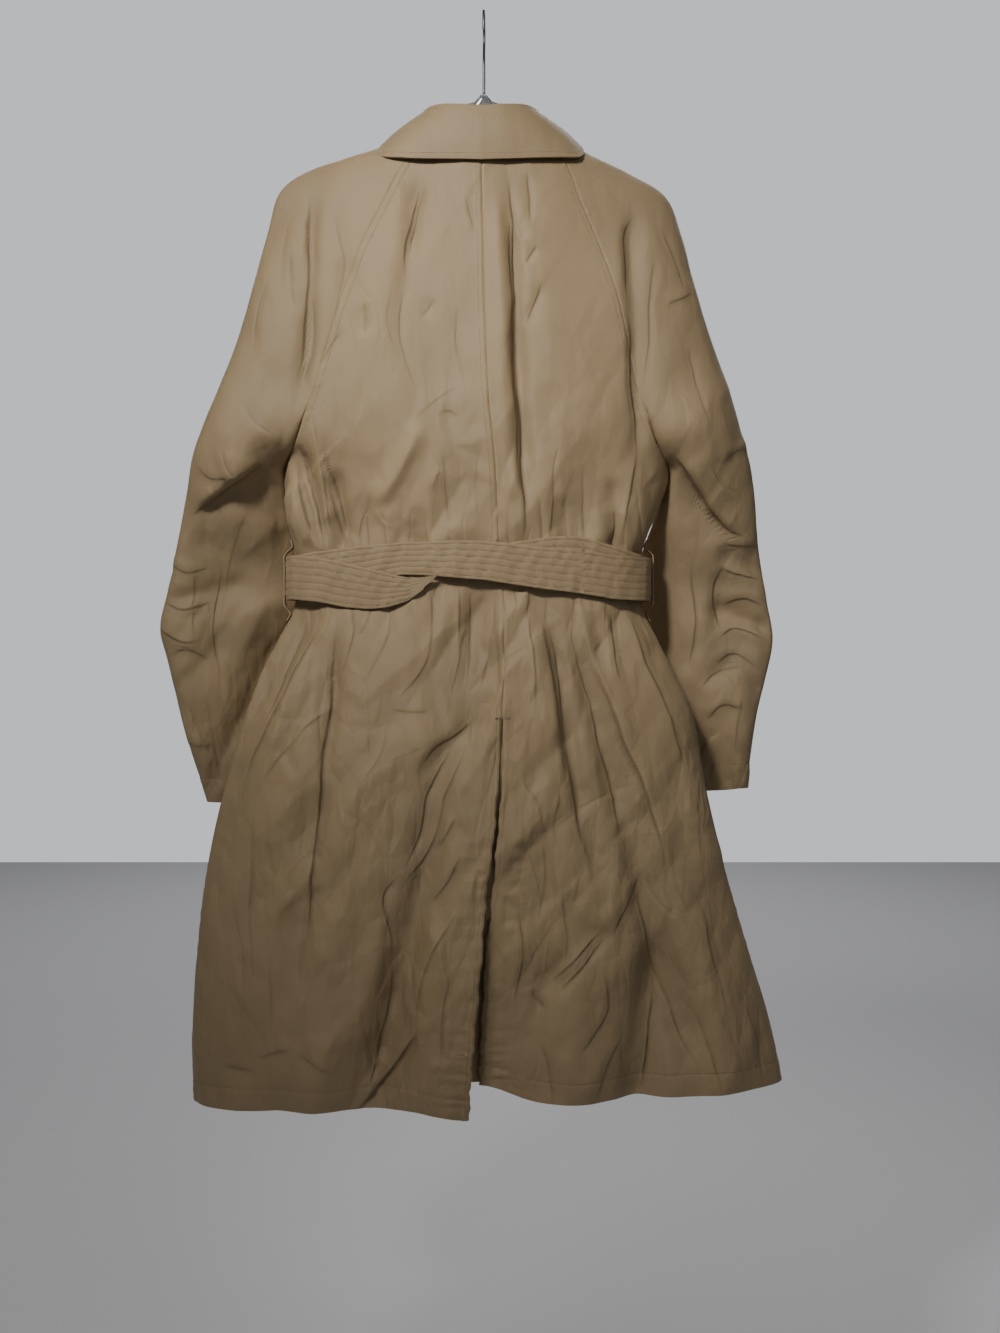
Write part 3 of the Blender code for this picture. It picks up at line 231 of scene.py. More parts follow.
# Creases by zone, sides that show them and section: path of (x, z), widths and depths at
# its two ends and, where it isn't 0, how far the section leans to the right
CREASES = {
    (Zone.ALL, (Face.BACK,), Relief.TUCK): [
        (((-189, -205), (-186, -247), (-187, -273), (-185, -310)), (5, 6), (2, 3)),
        (((-17, -215), (-15, -236), (-11, -257)), (4, 4), (1.5, 1)),
        (((33, -236), (37, -250), (42, -262)), (4, 4), (1.5, 1.5)),
        (((165, -226), (154, -247), (151, -284), (153, -326)), (6, 6), (2.5, 3)),
        (((153, -326), (155, -373), (160, -431), (165, -505)), (6, 7), (3, 2.5)),
        (((-256, -426), (-244, -452), (-219, -473)), (6, 6), (1.5, 2)),
    ],
    (Zone.ALL, (Face.BACK,), Relief.VALLEY): [
        (((-185, -310), (-182, -347), (-184, -378), (-193, -429)), (5, 5), (3, 3)),
        (((-206, -262), (-208, -294), (-197, -341)), (5, 5), (2, 2)),
        (((-128, -326), (-125, -341), (-125, -363)), (5, 6), (1.5, 2)),
        (((-146, -352), (-162, -373), (-177, -399)), (5, 5), (1.5, 1.5)),
        (((-63, -194), (-68, -220), (-75, -257), (-78, -286)), (5, 6), (2.5, 2)),
        (((-85, -310), (-88, -357), (-72, -431)), (9, 12), (2, 1)),
        (((47, -184), (49, -215), (47, -247)), (5, 5), (2, 2)),
        (((57, -268), (51, -278), (44, -289)), (5, 5), (2, 2)),
        (((63, -305), (53, -331), (44, -357)), (6, 6), (2, 2)),
        (((181, -262), (178, -326), (170, -431)), (5, 6), (1.5, 2)),
        (((-233, -294), (-244, -336), (-250, -378)), (10, 12), (1.5, 1.5)),
        (((-209, -220), (-216, -262), (-218, -315)), (7, 9), (1.5, 1.2)),
        (((190, -233), (203, -273), (218, -313)), (7, 8), (1.5, 1.5)),
        (((218, -368), (228, -420), (241, -463)), (9, 10), (1.5, 1.5)),
    ],
    (Zone.ALL, (Face.BACK,), Relief.CREST): [
        (((-162, -226), (-152, -273), (-149, -294)), (7, 9), (2, 2), 0.4),
        (((-69, -194), (-74, -220), (-82, -257), (-85, -278), (-85, -305)), (6, 8), (3, 2), -0.5),
        (((26, -184), (27, -210), (30, -262), (30, -326), (32, -378)), (5, 7), (3, 4), 0.55),
        (((32, -378), (34, -431), (39, -515), (43, -584)), (7, 9), (4, 4.5), 0.6),
    ],
    (Zone.BODY, (Face.BACK,), Relief.VALLEY): [
        (((-30, -326), (-27, -378), (-19, -431)), (8, 9), (1.5, 1)),
        (((-166, -505), (-158, -542), (-151, -587)), (5, 5), (2, 5)),
        (((-117, -526), (-128, -557), (-138, -587)), (6, 6), (1.5, 2.5)),
        (((139, -542), (140, -568), (136, -592)), (5, 5), (2, 4)),
        (((81, -463), (73, -515), (72, -584)), (8, 7), (1.2, 2)),
        (((107, -494), (105, -536), (108, -587)), (7, 6), (1, 2)),
        (((-46, -473), (-39, -526), (-33, -578)), (9, 7), (1, 2)),
        (((-75, -557), (-78, -571), (-79, -584)), (4, 4), (1, 2)),
        (((-155, -650), (-158, -705), (-164, -810), (-167, -852)), (7, 9), (3, 2)),
        (((-167, -852), (-177, -905), (-188, -968), (-193, -1063)), (8, 10), (2, 2.5)),
        (((12, -647), (7, -684), (-6, -747)), (6, 6), (2.5, 2)),
        (((-30, -784), (-56, -842), (-67, -884), (-83, -926)), (7, 8), (4, 3.5)),
        (((-83, -926), (-104, -952), (-96, -989), (-93, -1015)), (7, 8), (3, 3)),
        (((-30, -1021), (-40, -1073), (-44, -1126)), (6, 7), (2.5, 3)),
        (((86, -646), (112, -747), (133, -831), (154, -915)), (7, 9), (3.5, 3)),
        (((154, -915), (181, -1026), (205, -1084), (228, -1152)), (8, 12), (3, 3)),
        (((129, -989), (102, -1023), (72, -1052)), (6, 6), (3, 3)),
        (((49, -1047), (57, -1059), (66, -1069)), (5, 5), (2, 2)),
        (((60, -884), (65, -936), (54, -989)), (7, 7), (2, 2)),
        (((54, -1094), (68, -1126), (72, -1166)), (7, 9), (2, 3)),
        (((-241, -852), (-246, -957), (-241, -1063)), (16, 18), (2, 2)),
        (((218, -1063), (233, -1105), (245, -1158)), (8, 9), (2, 3)),
    ],
    (Zone.ALL, (Face.BACK,), Relief.STEP): [
        (((24, -176), (28, -262), (31, -378), (36, -480), (44, -588)), (17, 20), (3.4, 4.6)),
        (((-190, -176), (-188, -262), (-190, -340), (-197, -425)), (16, 16), (3, 3)),
    ],
    (Zone.BODY, (Face.BACK,), Relief.STEP): [
        (((-203, -470), (-190, -505), (-176, -545), (-168, -592)), (12, 13), (3.4, 4.2)),
        (((-176, -455), (-163, -505), (-150, -548), (-146, -590)), (10, 10), (2.6, 3.4)),
        (((62, -650), (74, -730), (90, -820), (112, -930)), (13, 17), (3.4, 3)),
        (((96, -648), (130, -745), (172, -850), (205, -960)), (12, 17), (-3.2, -3.6)),
        (((-62, -1079), (-93, -1126), (-138, -1181)), (14, 18), (4, 6)),
        (((-156, -640), (-162, -740), (-169, -830), (-180, -950), (-192, -1060)), (22, 26),
         (4.6, 4.6)),
    ],
    (Zone.BODY, (Face.BACK,), Relief.TUCK): [
        (((-203, -478), (-196, -515), (-185, -557), (-174, -591)), (6, 6), (3, 4)),
        (((-190, -647), (-206, -694), (-223, -747), (-244, -800)), (7, 9), (4, 3)),
        (((-14, -650), (-23, -694), (-35, -747)), (6, 7), (2, 2)),
        (((-100, -756), (-77, -758), (-51, -758)), (4, 4), (1.2, 1.2)),
        (((-6, -763), (-30, -784), (-51, -797), (-67, -818)), (5, 6), (3, 3)),
        (((-93, -1010), (-100, -1063), (-111, -1115), (-125, -1168)), (7, 9), (3, 4)),
        (((-27, -868), (-40, -889), (-53, -905)), (5, 5), (3, 2)),
        (((-23, -905), (-35, -936), (-62, -963)), (5, 5), (2.5, 2)),
        (((65, -642), (75, -694), (83, -757), (96, -873)), (6, 8), (3, 3)),
        (((112, -684), (123, -721), (135, -757)), (5, 5), (2.5, 2)),
        (((135, -646), (137, -684), (146, -736)), (5, 6), (3, 3)),
        (((181, -1042), (175, -1094), (165, -1163)), (6, 8), (3, 5)),
        (((123, -1021), (129, -1063), (112, -1094), (96, -1115)), (6, 6), (3, 3)),
        (((146, -1094), (128, -1126), (110, -1168)), (7, 8), (3, 3)),
        (((167, -924), (152, -957), (131, -994)), (6, 7), (3, 3)),
        (((81, -936), (87, -989), (81, -1031)), (6, 6), (2, 2)),
        (((36, -957), (41, -1010), (32, -1073)), (6, 6), (2.5, 2.5)),
        (((-235, -1121), (-214, -1112), (-193, -1108)), (4, 4), (1.5, 1.5)),
        (((-275, -1129), (-256, -1132), (-233, -1134)), (4, 4), (1.5, 1.5)),
        (((-193, -1110), (-172, -1121), (-149, -1133)), (4, 4), (1.5, 1.5)),
        (((228, -957), (241, -1021), (251, -1084)), (8, 10), (2, 2)),
        (((275, -1063), (286, -1105), (293, -1147)), (6, 7), (2, 2)),
    ],
    (Zone.BODY, (Face.BACK,), Relief.CREST): [
        (((-189, -431), (-178, -473), (-170, -515), (-162, -587)), (7, 7), (2, 4), 0.3),
        (((-111, -542), (-106, -557), (-93, -568)), (5, 5), (2, 1.5), 0.3),
        (((165, -473), (156, -515), (148, -557), (146, -589)), (6, 6), (2, 3), -0.4),
        (((-174, -650), (-193, -694), (-233, -778), (-269, -852)), (8, 12), (4, 4), -0.4),
        (((-50, -650), (-62, -705), (-96, -753)), (6, 7), (2, 1.5), 0.3),
        (((-16, -784), (-39, -842), (-58, -900), (-90, -947)), (6, 8), (3, 3), -0.4),
        (((-23, -957), (-46, -994), (-69, -1047), (-75, -1100)), (7, 9), (3, 3), 0.4),
        (((47, -650), (51, -705), (54, -768)), (6, 7), (3, 2), 0.4),
        (((100, -648), (127, -747), (165, -852), (186, -926)), (9, 13), (2.5, 2), 0.3),
        (((152, -648), (170, -705), (194, -768), (218, -842)), (7, 10), (3, 2), 0.3),
        (((123, -984), (96, -1010), (65, -1042)), (6, 6), (4, 3), 0.3),
        (((167, -926), (186, -963), (218, -989)), (5, 6), (2, 1.5)),
        (((-272, -936), (-262, -1000), (-251, -1073)), (14, 16), (1.5, 1.5)),
    ],
    (Zone.BODY, (Face.BACK,), Relief.RIDGE): [
        (((-67, -463), (-88, -505), (-111, -542)), (7, 7), (2.5, 2.5)),
        (((65, -326), (68, -368), (72, -431)), (12, 12), (1.5, 1.5)),
        (((-146, -650), (-149, -747), (-159, -852), (-170, -957)), (12, 18), (2.5, 2)),
    ],
    (Zone.SLEEVE, (Face.BACK,), Relief.STEP): [
        (((-230, -494), (-266, -514), (-295, -532), (-323, -549)), (24, 20), (9, 6)),
        (((199, -481), (216, -503), (238, -531), (263, -561), (289, -572)), (24, 20), (-8, -6)),
    ],
    (Zone.SLEEVE, (Face.BACK,), Relief.CREST): [
        (((-283, -478), (-270, -503), (-246, -517)), (6, 6), (2.5, 2), 0.2),
        (((-314, -594), (-323, -638), (-318, -693)), (8, 8), (2, 2)),
        (((238, -494), (256, -517), (280, -528)), (6, 6), (2, 2), 0.2),
        (((285, -738), (278, -771), (276, -806)), (6, 6), (2, 2), 0.2),
    ],
    (Zone.SLEEVE, (Face.BACK,), Relief.TUCK): [
        (((-309, -494), (-290, -508), (-264, -506)), (5, 5), (2, 2)),
        (((-347, -704), (-325, -693), (-299, -707)), (5, 5), (2, 2)),
        (((-327, -749), (-314, -782), (-299, -820)), (6, 6), (2, 2)),
        (((263, -594), (252, -638), (263, -682)), (7, 7), (3, 3)),
        (((245, -775), (263, -754), (291, -762)), (5, 5), (2.5, 2)),
        (((238, -812), (247, -794), (263, -783)), (4, 4), (2.5, 2)),
    ],
    (Zone.SLEEVE, BOTH_FACES, Relief.TUCK): [
        (((-349, -594), (-327, -610), (-301, -605)), (6, 6), (2.5, 2)),
        (((-358, -638), (-331, -651), (-297, -638)), (6, 6), (3, 2.5)),
        (((-332, -793), (-314, -798), (-296, -795)), (4, 4), (1.5, 1.5)),
        (((258, -577), (280, -581), (305, -577)), (5, 6), (3, 3)),
        (((261, -645), (285, -638), (311, -647)), (5, 6), (3, 3)),
        (((252, -713), (274, -699), (309, -718)), (5, 5), (2.5, 2)),
    ],
    (Zone.SLEEVE, BOTH_FACES, Relief.CREST): [
        (((-358, -666), (-336, -682), (-309, -682)), (6, 6), (3, 2), 0.3),
        (((254, -599), (277, -610), (309, -616)), (5, 6), (3, 3), 0.3),
        (((256, -682), (277, -669), (316, -682)), (5, 6), (3, 3), 0.3),
    ],
    (Zone.SLEEVE, (Face.BACK,), Relief.VALLEY): [
        (((-286, -594), (-297, -660), (-290, -738)), (10, 10), (3, 3)),
        (((-309, -738), (-301, -782), (-293, -848)), (5, 5), (1.5, 1.5)),
        (((238, -738), (256, -718), (285, -713)), (5, 5), (2, 2)),
        (((227, -594), (232, -660), (227, -727)), (12, 12), (3, 3)),
    ],
    (Zone.SLEEVE, (Face.BACK,), Relief.TROUGH): [
        (((-262, -548), (-276, -640), (-272, -745)), (46, 38), (13, 8)),
        (((262, -578), (268, -650), (262, -740)), (40, 34), (11, 7)),
    ],
    (Zone.ALL, BOTH_FACES, Relief.TUCK): [
        (((194, -326), (209, -321), (226, -313)), (4, 4), (1.5, 1.5)),
        (((252, -494), (272, -481), (289, -475)), (4, 5), (2, 2)),
    ],
}


def smooth(column: np.ndarray, station: np.ndarray | float) -> np.ndarray:
    """The value of a column at stations, on a Catmull-Rom curve through its rows.

    Args:
        column: one value for each row of a table.
        station: places between the rows.

    Returns:
        The values at those places.
    """
    last = len(column) - 1
    station = np.clip(np.asarray(station, float), 0, last)
    row = np.minimum(station.astype(int), last - 1)
    t = station - row
    here = column[row]
    after = column[row + 1]
    before = np.where(row > 0, column[np.maximum(row - 1, 0)], 2 * here - after)
    beyond = np.where(row < last - 1, column[np.minimum(row + 2, last)], 2 * after - here)
    return 0.5 * (
        2 * here
        + (after - before) * t
        + (2 * before - 5 * here + 4 * after - beyond) * t**2
        + (3 * here - before - 3 * after + beyond) * t**3
    )


def ease(value: np.ndarray | float) -> np.ndarray:
    """0 up to 0, 1 from 1 on, and a smooth rise between."""
    value = np.clip(value, 0, 1)
    return value * value * (3 - 2 * value)


def unit(vectors: np.ndarray) -> np.ndarray:
    """Vectors of length one, along the last axis."""
    return vectors / np.linalg.norm(vectors, axis=-1, keepdims=True)


def bell(value: np.ndarray, middle: float, width: float) -> np.ndarray:
    """1 at a middle, falling away to 0 on both sides of it."""
    return np.exp(-(((value - middle) / width) ** 2))


def arch(across: np.ndarray, power: np.ndarray | float) -> np.ndarray:
    """The height of a rounded section, at shares of its half width."""
    return (1 - across**power) ** (1 / power)


def run_length(points: np.ndarray) -> np.ndarray:
    """How far along a line each of its points lies."""
    return np.concatenate([[0], np.cumsum(np.linalg.norm(np.diff(points, axis=0), axis=1))])


def grid_distance(grid: np.ndarray, axis: int) -> np.ndarray:
    """Each point's distance along its row (axis 1) or column (axis 0) of a grid."""
    step = np.linalg.norm(np.diff(grid, axis=axis), axis=2)
    start = np.zeros((1, grid.shape[1])) if axis == 0 else np.zeros((grid.shape[0], 1))
    return np.concatenate([start, np.cumsum(step, axis=axis)], axis=axis)


def points_at(wanted: np.ndarray | float, distances: np.ndarray, points: np.ndarray) -> np.ndarray:
    """The places on a line at wanted distances along it.

    Args:
        wanted: the distances.
        distances: how far along the line each of its points lies.
        points: the line's points.

    Returns:
        One place for each wanted distance.
    """
    return np.stack([np.interp(wanted, distances, column) for column in points.T], axis=-1)


def curve_through(points: np.ndarray, per_span: int) -> np.ndarray:
    """A smooth line through points, with so many straight pieces between each two of them."""
    last = len(points) - 1
    station = np.linspace(0, last, last * per_span + 1)
    return np.stack([smooth(column, station) for column in points.T], axis=1)


class Table:
    """Rows of sizes with named columns, read between its rows along a smooth curve."""

    def __init__(self, columns: str, rows: Sequence[Sequence[float]]) -> None:
        """Keeps the rows under their column names."""
        self.columns = columns.split()
        self.values = np.array(rows, float)

    def at(self, name: str, station: np.ndarray | float) -> np.ndarray:
        """The named column at stations."""
        return smooth(self.values[:, self.columns.index(name)], station)


@dataclass
class CoatForm:
    """The smooth shell of body and sleeves, before its folds, worked out from the tables."""

    samples: int = 160
    level_samples: int = 400
    body: Table = field(init=False)
    vent: Table = field(init=False)
    drape: Table = field(init=False)
    outer: dict[Side, Table] = field(init=False)
    inner: dict[Side, Table] = field(init=False)
    levels: tuple[np.ndarray, np.ndarray] = field(init=False)
    outline: dict[Side, tuple[np.ndarray, np.ndarray]] = field(init=False)
    outline_last: int = 11

    def __post_init__(self) -> None:
        """Reads the tables."""
        self.body = Table(BODY_COLUMNS, BODY_ROWS)
        self.vent = Table(VENT_COLUMNS, VENT_ROWS)
        self.drape = Table(DRAPE_COLUMNS, DRAPE_ROWS)
        self.outer = {side: Table("x z", SLEEVE_OUTER[side]) for side in Side}
        stations = np.linspace(0, len(BODY_ROWS) - 1, self.level_samples)
        self.levels = (stations, self.body.at("z", stations))
        reach = np.linspace(0, self.outline_last, self.level_samples)
        self.outline = {side: (self.outer[side].at("x", reach), self.outer[side].at("z", reach))
                        for side in Side}
        self.inner = {}
        for side in Side:
            top = tuple(float(self.body.at(name, UNDERARM)) for name in (side.value, "z", "side_y"))
            rows = [(x, z, y) for (x, z), y in zip(SLEEVE_INNER[side], INNER_Y)]
            self.inner[side] = Table("x z y", [top] + rows)

    def station_of_level(self, z: np.ndarray | float) -> np.ndarray:
        """The body station at a height."""
        return np.interp(-np.asarray(z), -self.levels[1], self.levels[0])

    def shell_depth(self, x: np.ndarray, z: np.ndarray, face: Face) -> np.ndarray:
        """Depth on the shell that shoulders, sleeves and body share above the underarm.

        Args:
            x: the places' X.
            z: the places' Z.
            face: the face on which they lie.

        Returns:
            Their Y.
        """
        station = self.station_of_level(z)
        centre = self.body.at("centre", station)
        left = self.outline[Side.LEFT]
        right = self.outline[Side.RIGHT]
        reach_left = centre - np.interp(-z, -left[1], left[0])
        reach_right = np.interp(-z, -right[1], right[0]) - centre
        across = np.clip(np.abs(x - centre) / np.where(x < centre, reach_left, reach_right), 0, 1)
        power = SHOULDER_POWER + (SECTION_POWER - SHOULDER_POWER) * ease((-150 - z) / 200)
        return self.body.at(face.value + "_y", station) * arch(across, power)

    def round_depth(self, across: np.ndarray, station: float, face: Face) -> np.ndarray:
        """Depth of the body's own rounded section, at shares of its half width."""
        side_y = self.body.at("side_y", station)
        return side_y + (self.body.at(face.value + "_y", station) - side_y) * arch(
            across, SECTION_POWER)

    def centre_edge(self, side: Side, face: Face, station: float) -> float:
        """Where a panel starts: at the centre-back seam, the vent's slit or the fronts' edge.

        Args:
            side: the panel's side.
            face: the way the panel faces.
            station: a level of the body.

        Returns:
            The X of the panel's edge there.
        """
        centre = self.body.at("centre", station)
        if face is Face.FRONT:
            return centre - side.sign * LAP
        if station <= VENT_START:
            return centre
        ragged = 0.7 * math.sin(9.1 * station + side.sign) + 0.5 * math.sin(23 * station)
        slit = self.vent.at("slit", station - VENT_START) / 2
        return centre + side.sign * (slit + ragged * ease(station - VENT_START - 0.5))

    def body_section(self, side: Side, face: Face, station: float) -> np.ndarray:
        """A panel's points at one level, from its centre edge to its side or raglan seam.

        Args:
            side: the panel's side.
            face: the way the panel faces.
            station: the level.

        Returns:
            The points.
        """
        centre = self.body.at("centre", station)
        seam = self.body.at(side.value, station)
        first = self.centre_edge(side, face, station)
        x = first + (seam - first) * np.sin(np.linspace(0, math.pi / 2, self.samples))
        across = np.clip(np.abs((x - centre) / (seam - centre)), 0, 1)
        dip = NECK_DIP[face] * (1 - across) ** 2 * ease(1 - station / 3)
        z = self.body.at("z", station) - dip + HEM_TILT * x * ease((station - HEM_START) / 4)
        low = ease((station - BLEND_FROM) / (UNDERARM - BLEND_FROM))
        y = ((1 - low) * self.shell_depth(x, z, face)
             + low * self.round_depth(across, station, face))
        if face is Face.BACK and station > VENT_START:
            row = station - VENT_START
            near = bell(x, first, LIP_REACH)
            lip = self.vent.at(f"{side.value}_lip", row)
            y = y + side.sign * lip * near
            z = z + side.sign * self.vent.at(f"{side.value}_drop", row) * near
        if face is Face.FRONT and side is Side.LEFT:
            y = y + LAP_LIFT * ease((x - (centre - LAP - 10 - LAP_EASE)) / LAP_EASE)
        return np.stack([x, y, z], axis=1)

    def sleeve_section(self, side: Side, face: Face, station: float) -> np.ndarray:
        """A sleeve half's points at one station, from the overarm seam to its inner seam.

        Args:
            side: the sleeve's side.
            face: the way the half faces.
            station: how far down the sleeve.

        Returns:
            The points.
        """
        outer_x = self.outer[side].at("x", station)
        outer_z = self.outer[side].at("z", station)
        if station <= UNDERARM:
            inner = [self.body.at(name, station) for name in (side.value, "z", "side_y")]
        else:
            inner = [self.inner[side].at(name, station - UNDERARM) for name in ("x", "z", "y")]
        count = self.samples
        t = 1 - np.sin(np.linspace(0, math.pi / 2, count))[::-1]
        half = count // 2
        t[half:] = np.linspace(t[half], 1, count - half)
        if station > BLEND_FROM:
            t = 0.5 - 0.5 * np.cos(np.linspace(0, math.pi, count))
        x = outer_x + (inner[0] - outer_x) * t
        z = outer_z + (inner[1] - outer_z) * t
        outer_y = self.drape.at("outer_y", station)
        bulge = self.drape.at(f"{face.value}_bulge", station)
        swell = arch(np.abs(2 * t - 1), SLEEVE_POWER)
        ring_y = outer_y + (inner[2] - outer_y) * t + face.sign * bulge * swell
        low = ease((station - BLEND_FROM) / (UNDERARM - BLEND_FROM))
        if low >= 1:
            return np.stack([x, ring_y, z], axis=1)
        y = (1 - low) * self.shell_depth(x, z, face) + low * ring_y
        y[0] = low * outer_y
        return np.stack([x, y, z], axis=1)


# The waves that move creases about: how many, and how far they reach together
WANDER_WAVES = 9
WANDER_REACH = 1.54


def peak(value: np.ndarray) -> np.ndarray:
    """A section with a sharp top that falls away to both sides."""
    return np.exp(-1.3 * (np.sqrt(value**2 + 0.012) - 0.11)) * np.exp(-0.25 * value**2)


def wander(x: np.ndarray, z: np.ndarray, seed: int) -> tuple[np.ndarray, np.ndarray]:
    """Places moved about a little, so that no crease runs as a clean curve.

    Args:
        x: the places' X.
        z: the places' Z.
        seed: what the waves that move them are drawn from.

    Returns:
        The moved X and Z.
    """
    chance = np.random.default_rng(seed)
    moved = []
    for base in (x, z):
        total = np.zeros_like(base)
        for _ in range(WANDER_WAVES):
            turn = chance.uniform(0, math.pi)
            wave = chance.uniform(16, 95)
            total += chance.uniform(0.25, 1.0) * wave / 60 * np.sin(
                2 * math.pi * (x * math.cos(turn) + z * math.sin(turn)) / wave
                + chance.uniform(0, 2 * math.pi))
        moved.append(base + WANDER_REACH * total / math.sqrt(WANDER_WAVES))
    return moved[0], moved[1]


# Sections with a sharp line, how far from it the cloth's finish paints shade and a highlight for
# that line, and the depth at which it is strongest
SHARP = (Relief.TUCK, Relief.VALLEY, Relief.CREST)
LINED = (*SHARP, Relief.STEP)
LINE_REACH = 8.0
LINE_DEPTH = 3.8


@dataclass(frozen=True)
class Crease:
    """One crease of the cloth: a section swept along a path, in the plane of X and Z."""

    zone: Zone
    faces: tuple[Face, ...]
    relief: Relief
    path: tuple[tuple[float, float], ...]
    widths: tuple[float, float]
    depths: tuple[float, float]
    lean: float = 0.0
    ends: float = 0.3

    def line(self) -> np.ndarray:
        """The path as a smooth line of short straight pieces."""
        return curve_through(np.array(self.path, float), 6)

    def section(self, off: np.ndarray, width: np.ndarray) -> np.ndarray:
        """The crease's height at distances from its path, for a depth of one.

        Args:
            off: the distances, below 0 on one side.
            width: the crease's width at each.

        Returns:
            The heights.
        """
        side = np.where(off < 0, 1 - self.lean, 1 + self.lean)
        scaled = off / (width * side)
        if self.relief is Relief.TROUGH:
            return -np.exp(-(scaled**2))
        if self.relief is Relief.RIDGE:
            return np.exp(-(scaled**2))
        if self.relief is Relief.TUCK:
            share = np.abs(scaled) / 1.1
            return -0.62 * np.sign(off) * np.where(share < 1, share, np.exp(-(share - 1) / 1.5))
        if self.relief is Relief.CREST:
            return 1.1 * peak(scaled / 2.3)
        if self.relief is Relief.VALLEY:
            return -1.1 * peak(scaled / 2.1)
        return -np.tanh(off / (0.16 * width)) * np.exp(-(scaled**2))

    def measure(self, x: np.ndarray, z: np.ndarray) -> tuple[np.ndarray, np.ndarray, np.ndarray]:
        """How far the crease lifts or sinks places, and where they lie beside it.

        Args:
            x: the places' X.
            z: the places' Z.

        Returns:
            The height, the distance off the line (to its steep side) and the depth there.
        """
        line = self.line()
        reach = (8 if self.relief in SHARP else 3.2) * max(self.widths)
        low = line.min(axis=0) - reach
        high = line.max(axis=0) + reach
        near = (x > low[0]) & (x < high[0]) & (z > low[1]) & (z < high[1])
        height, beside, strength = (np.zeros_like(x) for _ in range(3))
        if not near.any():
            return height, beside, strength
        px, pz = x[near], z[near]
        best = np.full(px.shape, np.inf)
        off, part = np.zeros(px.shape), np.zeros(px.shape)
        along = run_length(line)
        for k, step in enumerate(np.diff(along)):
            way = (line[k + 1] - line[k]) / step
            run = (px - line[k, 0]) * way[0] + (pz - line[k, 1]) * way[1]
            side = (px - line[k, 0]) * -way[1] + (pz - line[k, 1]) * way[0]
            inside = np.clip(run, 0, step)
            distance = np.hypot(side, run - inside)
            closer = distance < best
            best = np.where(closer, distance, best)
            off = np.where(closer, np.where(side < 0, -distance, distance), off)
            part = np.where(closer, (along[k] + inside) / along[-1], part)
        width = self.widths[0] + (self.widths[1] - self.widths[0]) * part
        depth = self.depths[0] + (self.depths[1] - self.depths[0]) * part
        fade = ease(part / self.ends) * ease((1 - part) / self.ends)
        height[near] = depth * fade * self.section(off, width)
        if self.relief in LINED:
            crest = 0.3 * width if self.relief is Relief.CREST else 0
            beside[near] = off * np.sign(depth) - crest
            strength[near] = np.abs(depth) * fade
        return height, beside, strength


@dataclass
class Facets:
    """Flat triangles between scattered points of uneven height, as crumpled stiff cloth has."""

    seed: int
    spacing: tuple[float, float]
    depth: float
    turn: float = 0.0
    jitter: float = 0.45
    span_x: tuple[float, float] = (-1100, 1100)
    span_z: tuple[float, float] = (-1600, 300)
    corners: np.ndarray = field(init=False)
    heights: np.ndarray = field(init=False)

    def __post_init__(self) -> None:
        """Scatters the points and joins them into triangles."""
        chance = np.random.default_rng(self.seed)
        across, up = self.spacing
        x, z = np.meshgrid(np.arange(*self.span_x, across), np.arange(*self.span_z, up))
        x = x + 0.5 * across * (np.arange(len(x)) % 2)[:, None]
        place = np.stack([x, z], axis=-1).reshape(-1, 2)
        place = place + chance.uniform(-self.jitter, self.jitter, place.shape) * (across, up)
        height = chance.normal(0, self.depth, len(place))
        found = delaunay_2d_cdt([Vector(point / self.spacing) for point in place], [], [], 0, 1e-6)
        faces = np.array([face for face in found[2] if len(face) == 3])
        source = np.array([origin[0] for origin in found[3]])
        self.corners = place[source][faces]
        self.heights = height[source][faces]

    def at(self, x: np.ndarray, z: np.ndarray) -> np.ndarray:
        """The height at places.

        Args:
            x: the places' X.
            z: the places' Z.

        Returns:
            The heights.
        """
        turn = math.radians(self.turn)
        x, z = x * math.cos(turn) + z * math.sin(turn), z * math.cos(turn) - x * math.sin(turn)
        total = np.zeros_like(x)
        box = (x.min(), x.max(), z.min(), z.max())
        for corner, height in zip(self.corners, self.heights):
            low, high = corner.min(axis=0), corner.max(axis=0)
            if high[0] < box[0] or low[0] > box[1] or high[1] < box[2] or low[1] > box[3]:
                continue
            near = np.nonzero((x >= low[0]) & (x <= high[0]) & (z >= low[1]) & (z <= high[1]))
            start, (bx, bz), (cx, cz) = corner[0], *(corner[1:] - corner[0])
            area = bx * cz - cx * bz
            px, pz = x[near] - start[0], z[near] - start[1]
            v = (px * cz - pz * cx) / area
            w = (pz * bx - px * bz) / area
            inside = (v >= 0) & (w >= 0) & (v + w <= 1)
            value = height[0] + v * (height[1] - height[0]) + w * (height[2] - height[0])
            total[tuple(index[inside] for index in near)] = value[inside]
        return total


def bent_path(x: float, z: float, turn: float, length: float, bend: float,
              ) -> tuple[tuple[float, float], ...]:
    """A path's three points, about a middle, turned off the upright and bowed to one side.

    Args:
        x: the middle's X.
        z: the middle's Z.
        turn: the angle off the upright, in radians.
        length: how long the path is.
        bend: how far its middle is bowed out.

    Returns:
        The points.
    """
    way = np.array([math.sin(turn), -math.cos(turn)])
    across = np.array([way[1], -way[0]])
    return tuple(tuple(np.array([x, z]) + way * length * t + across * bend * (1 - 4 * t * t))
                 for t in (-0.5, 0, 0.5))


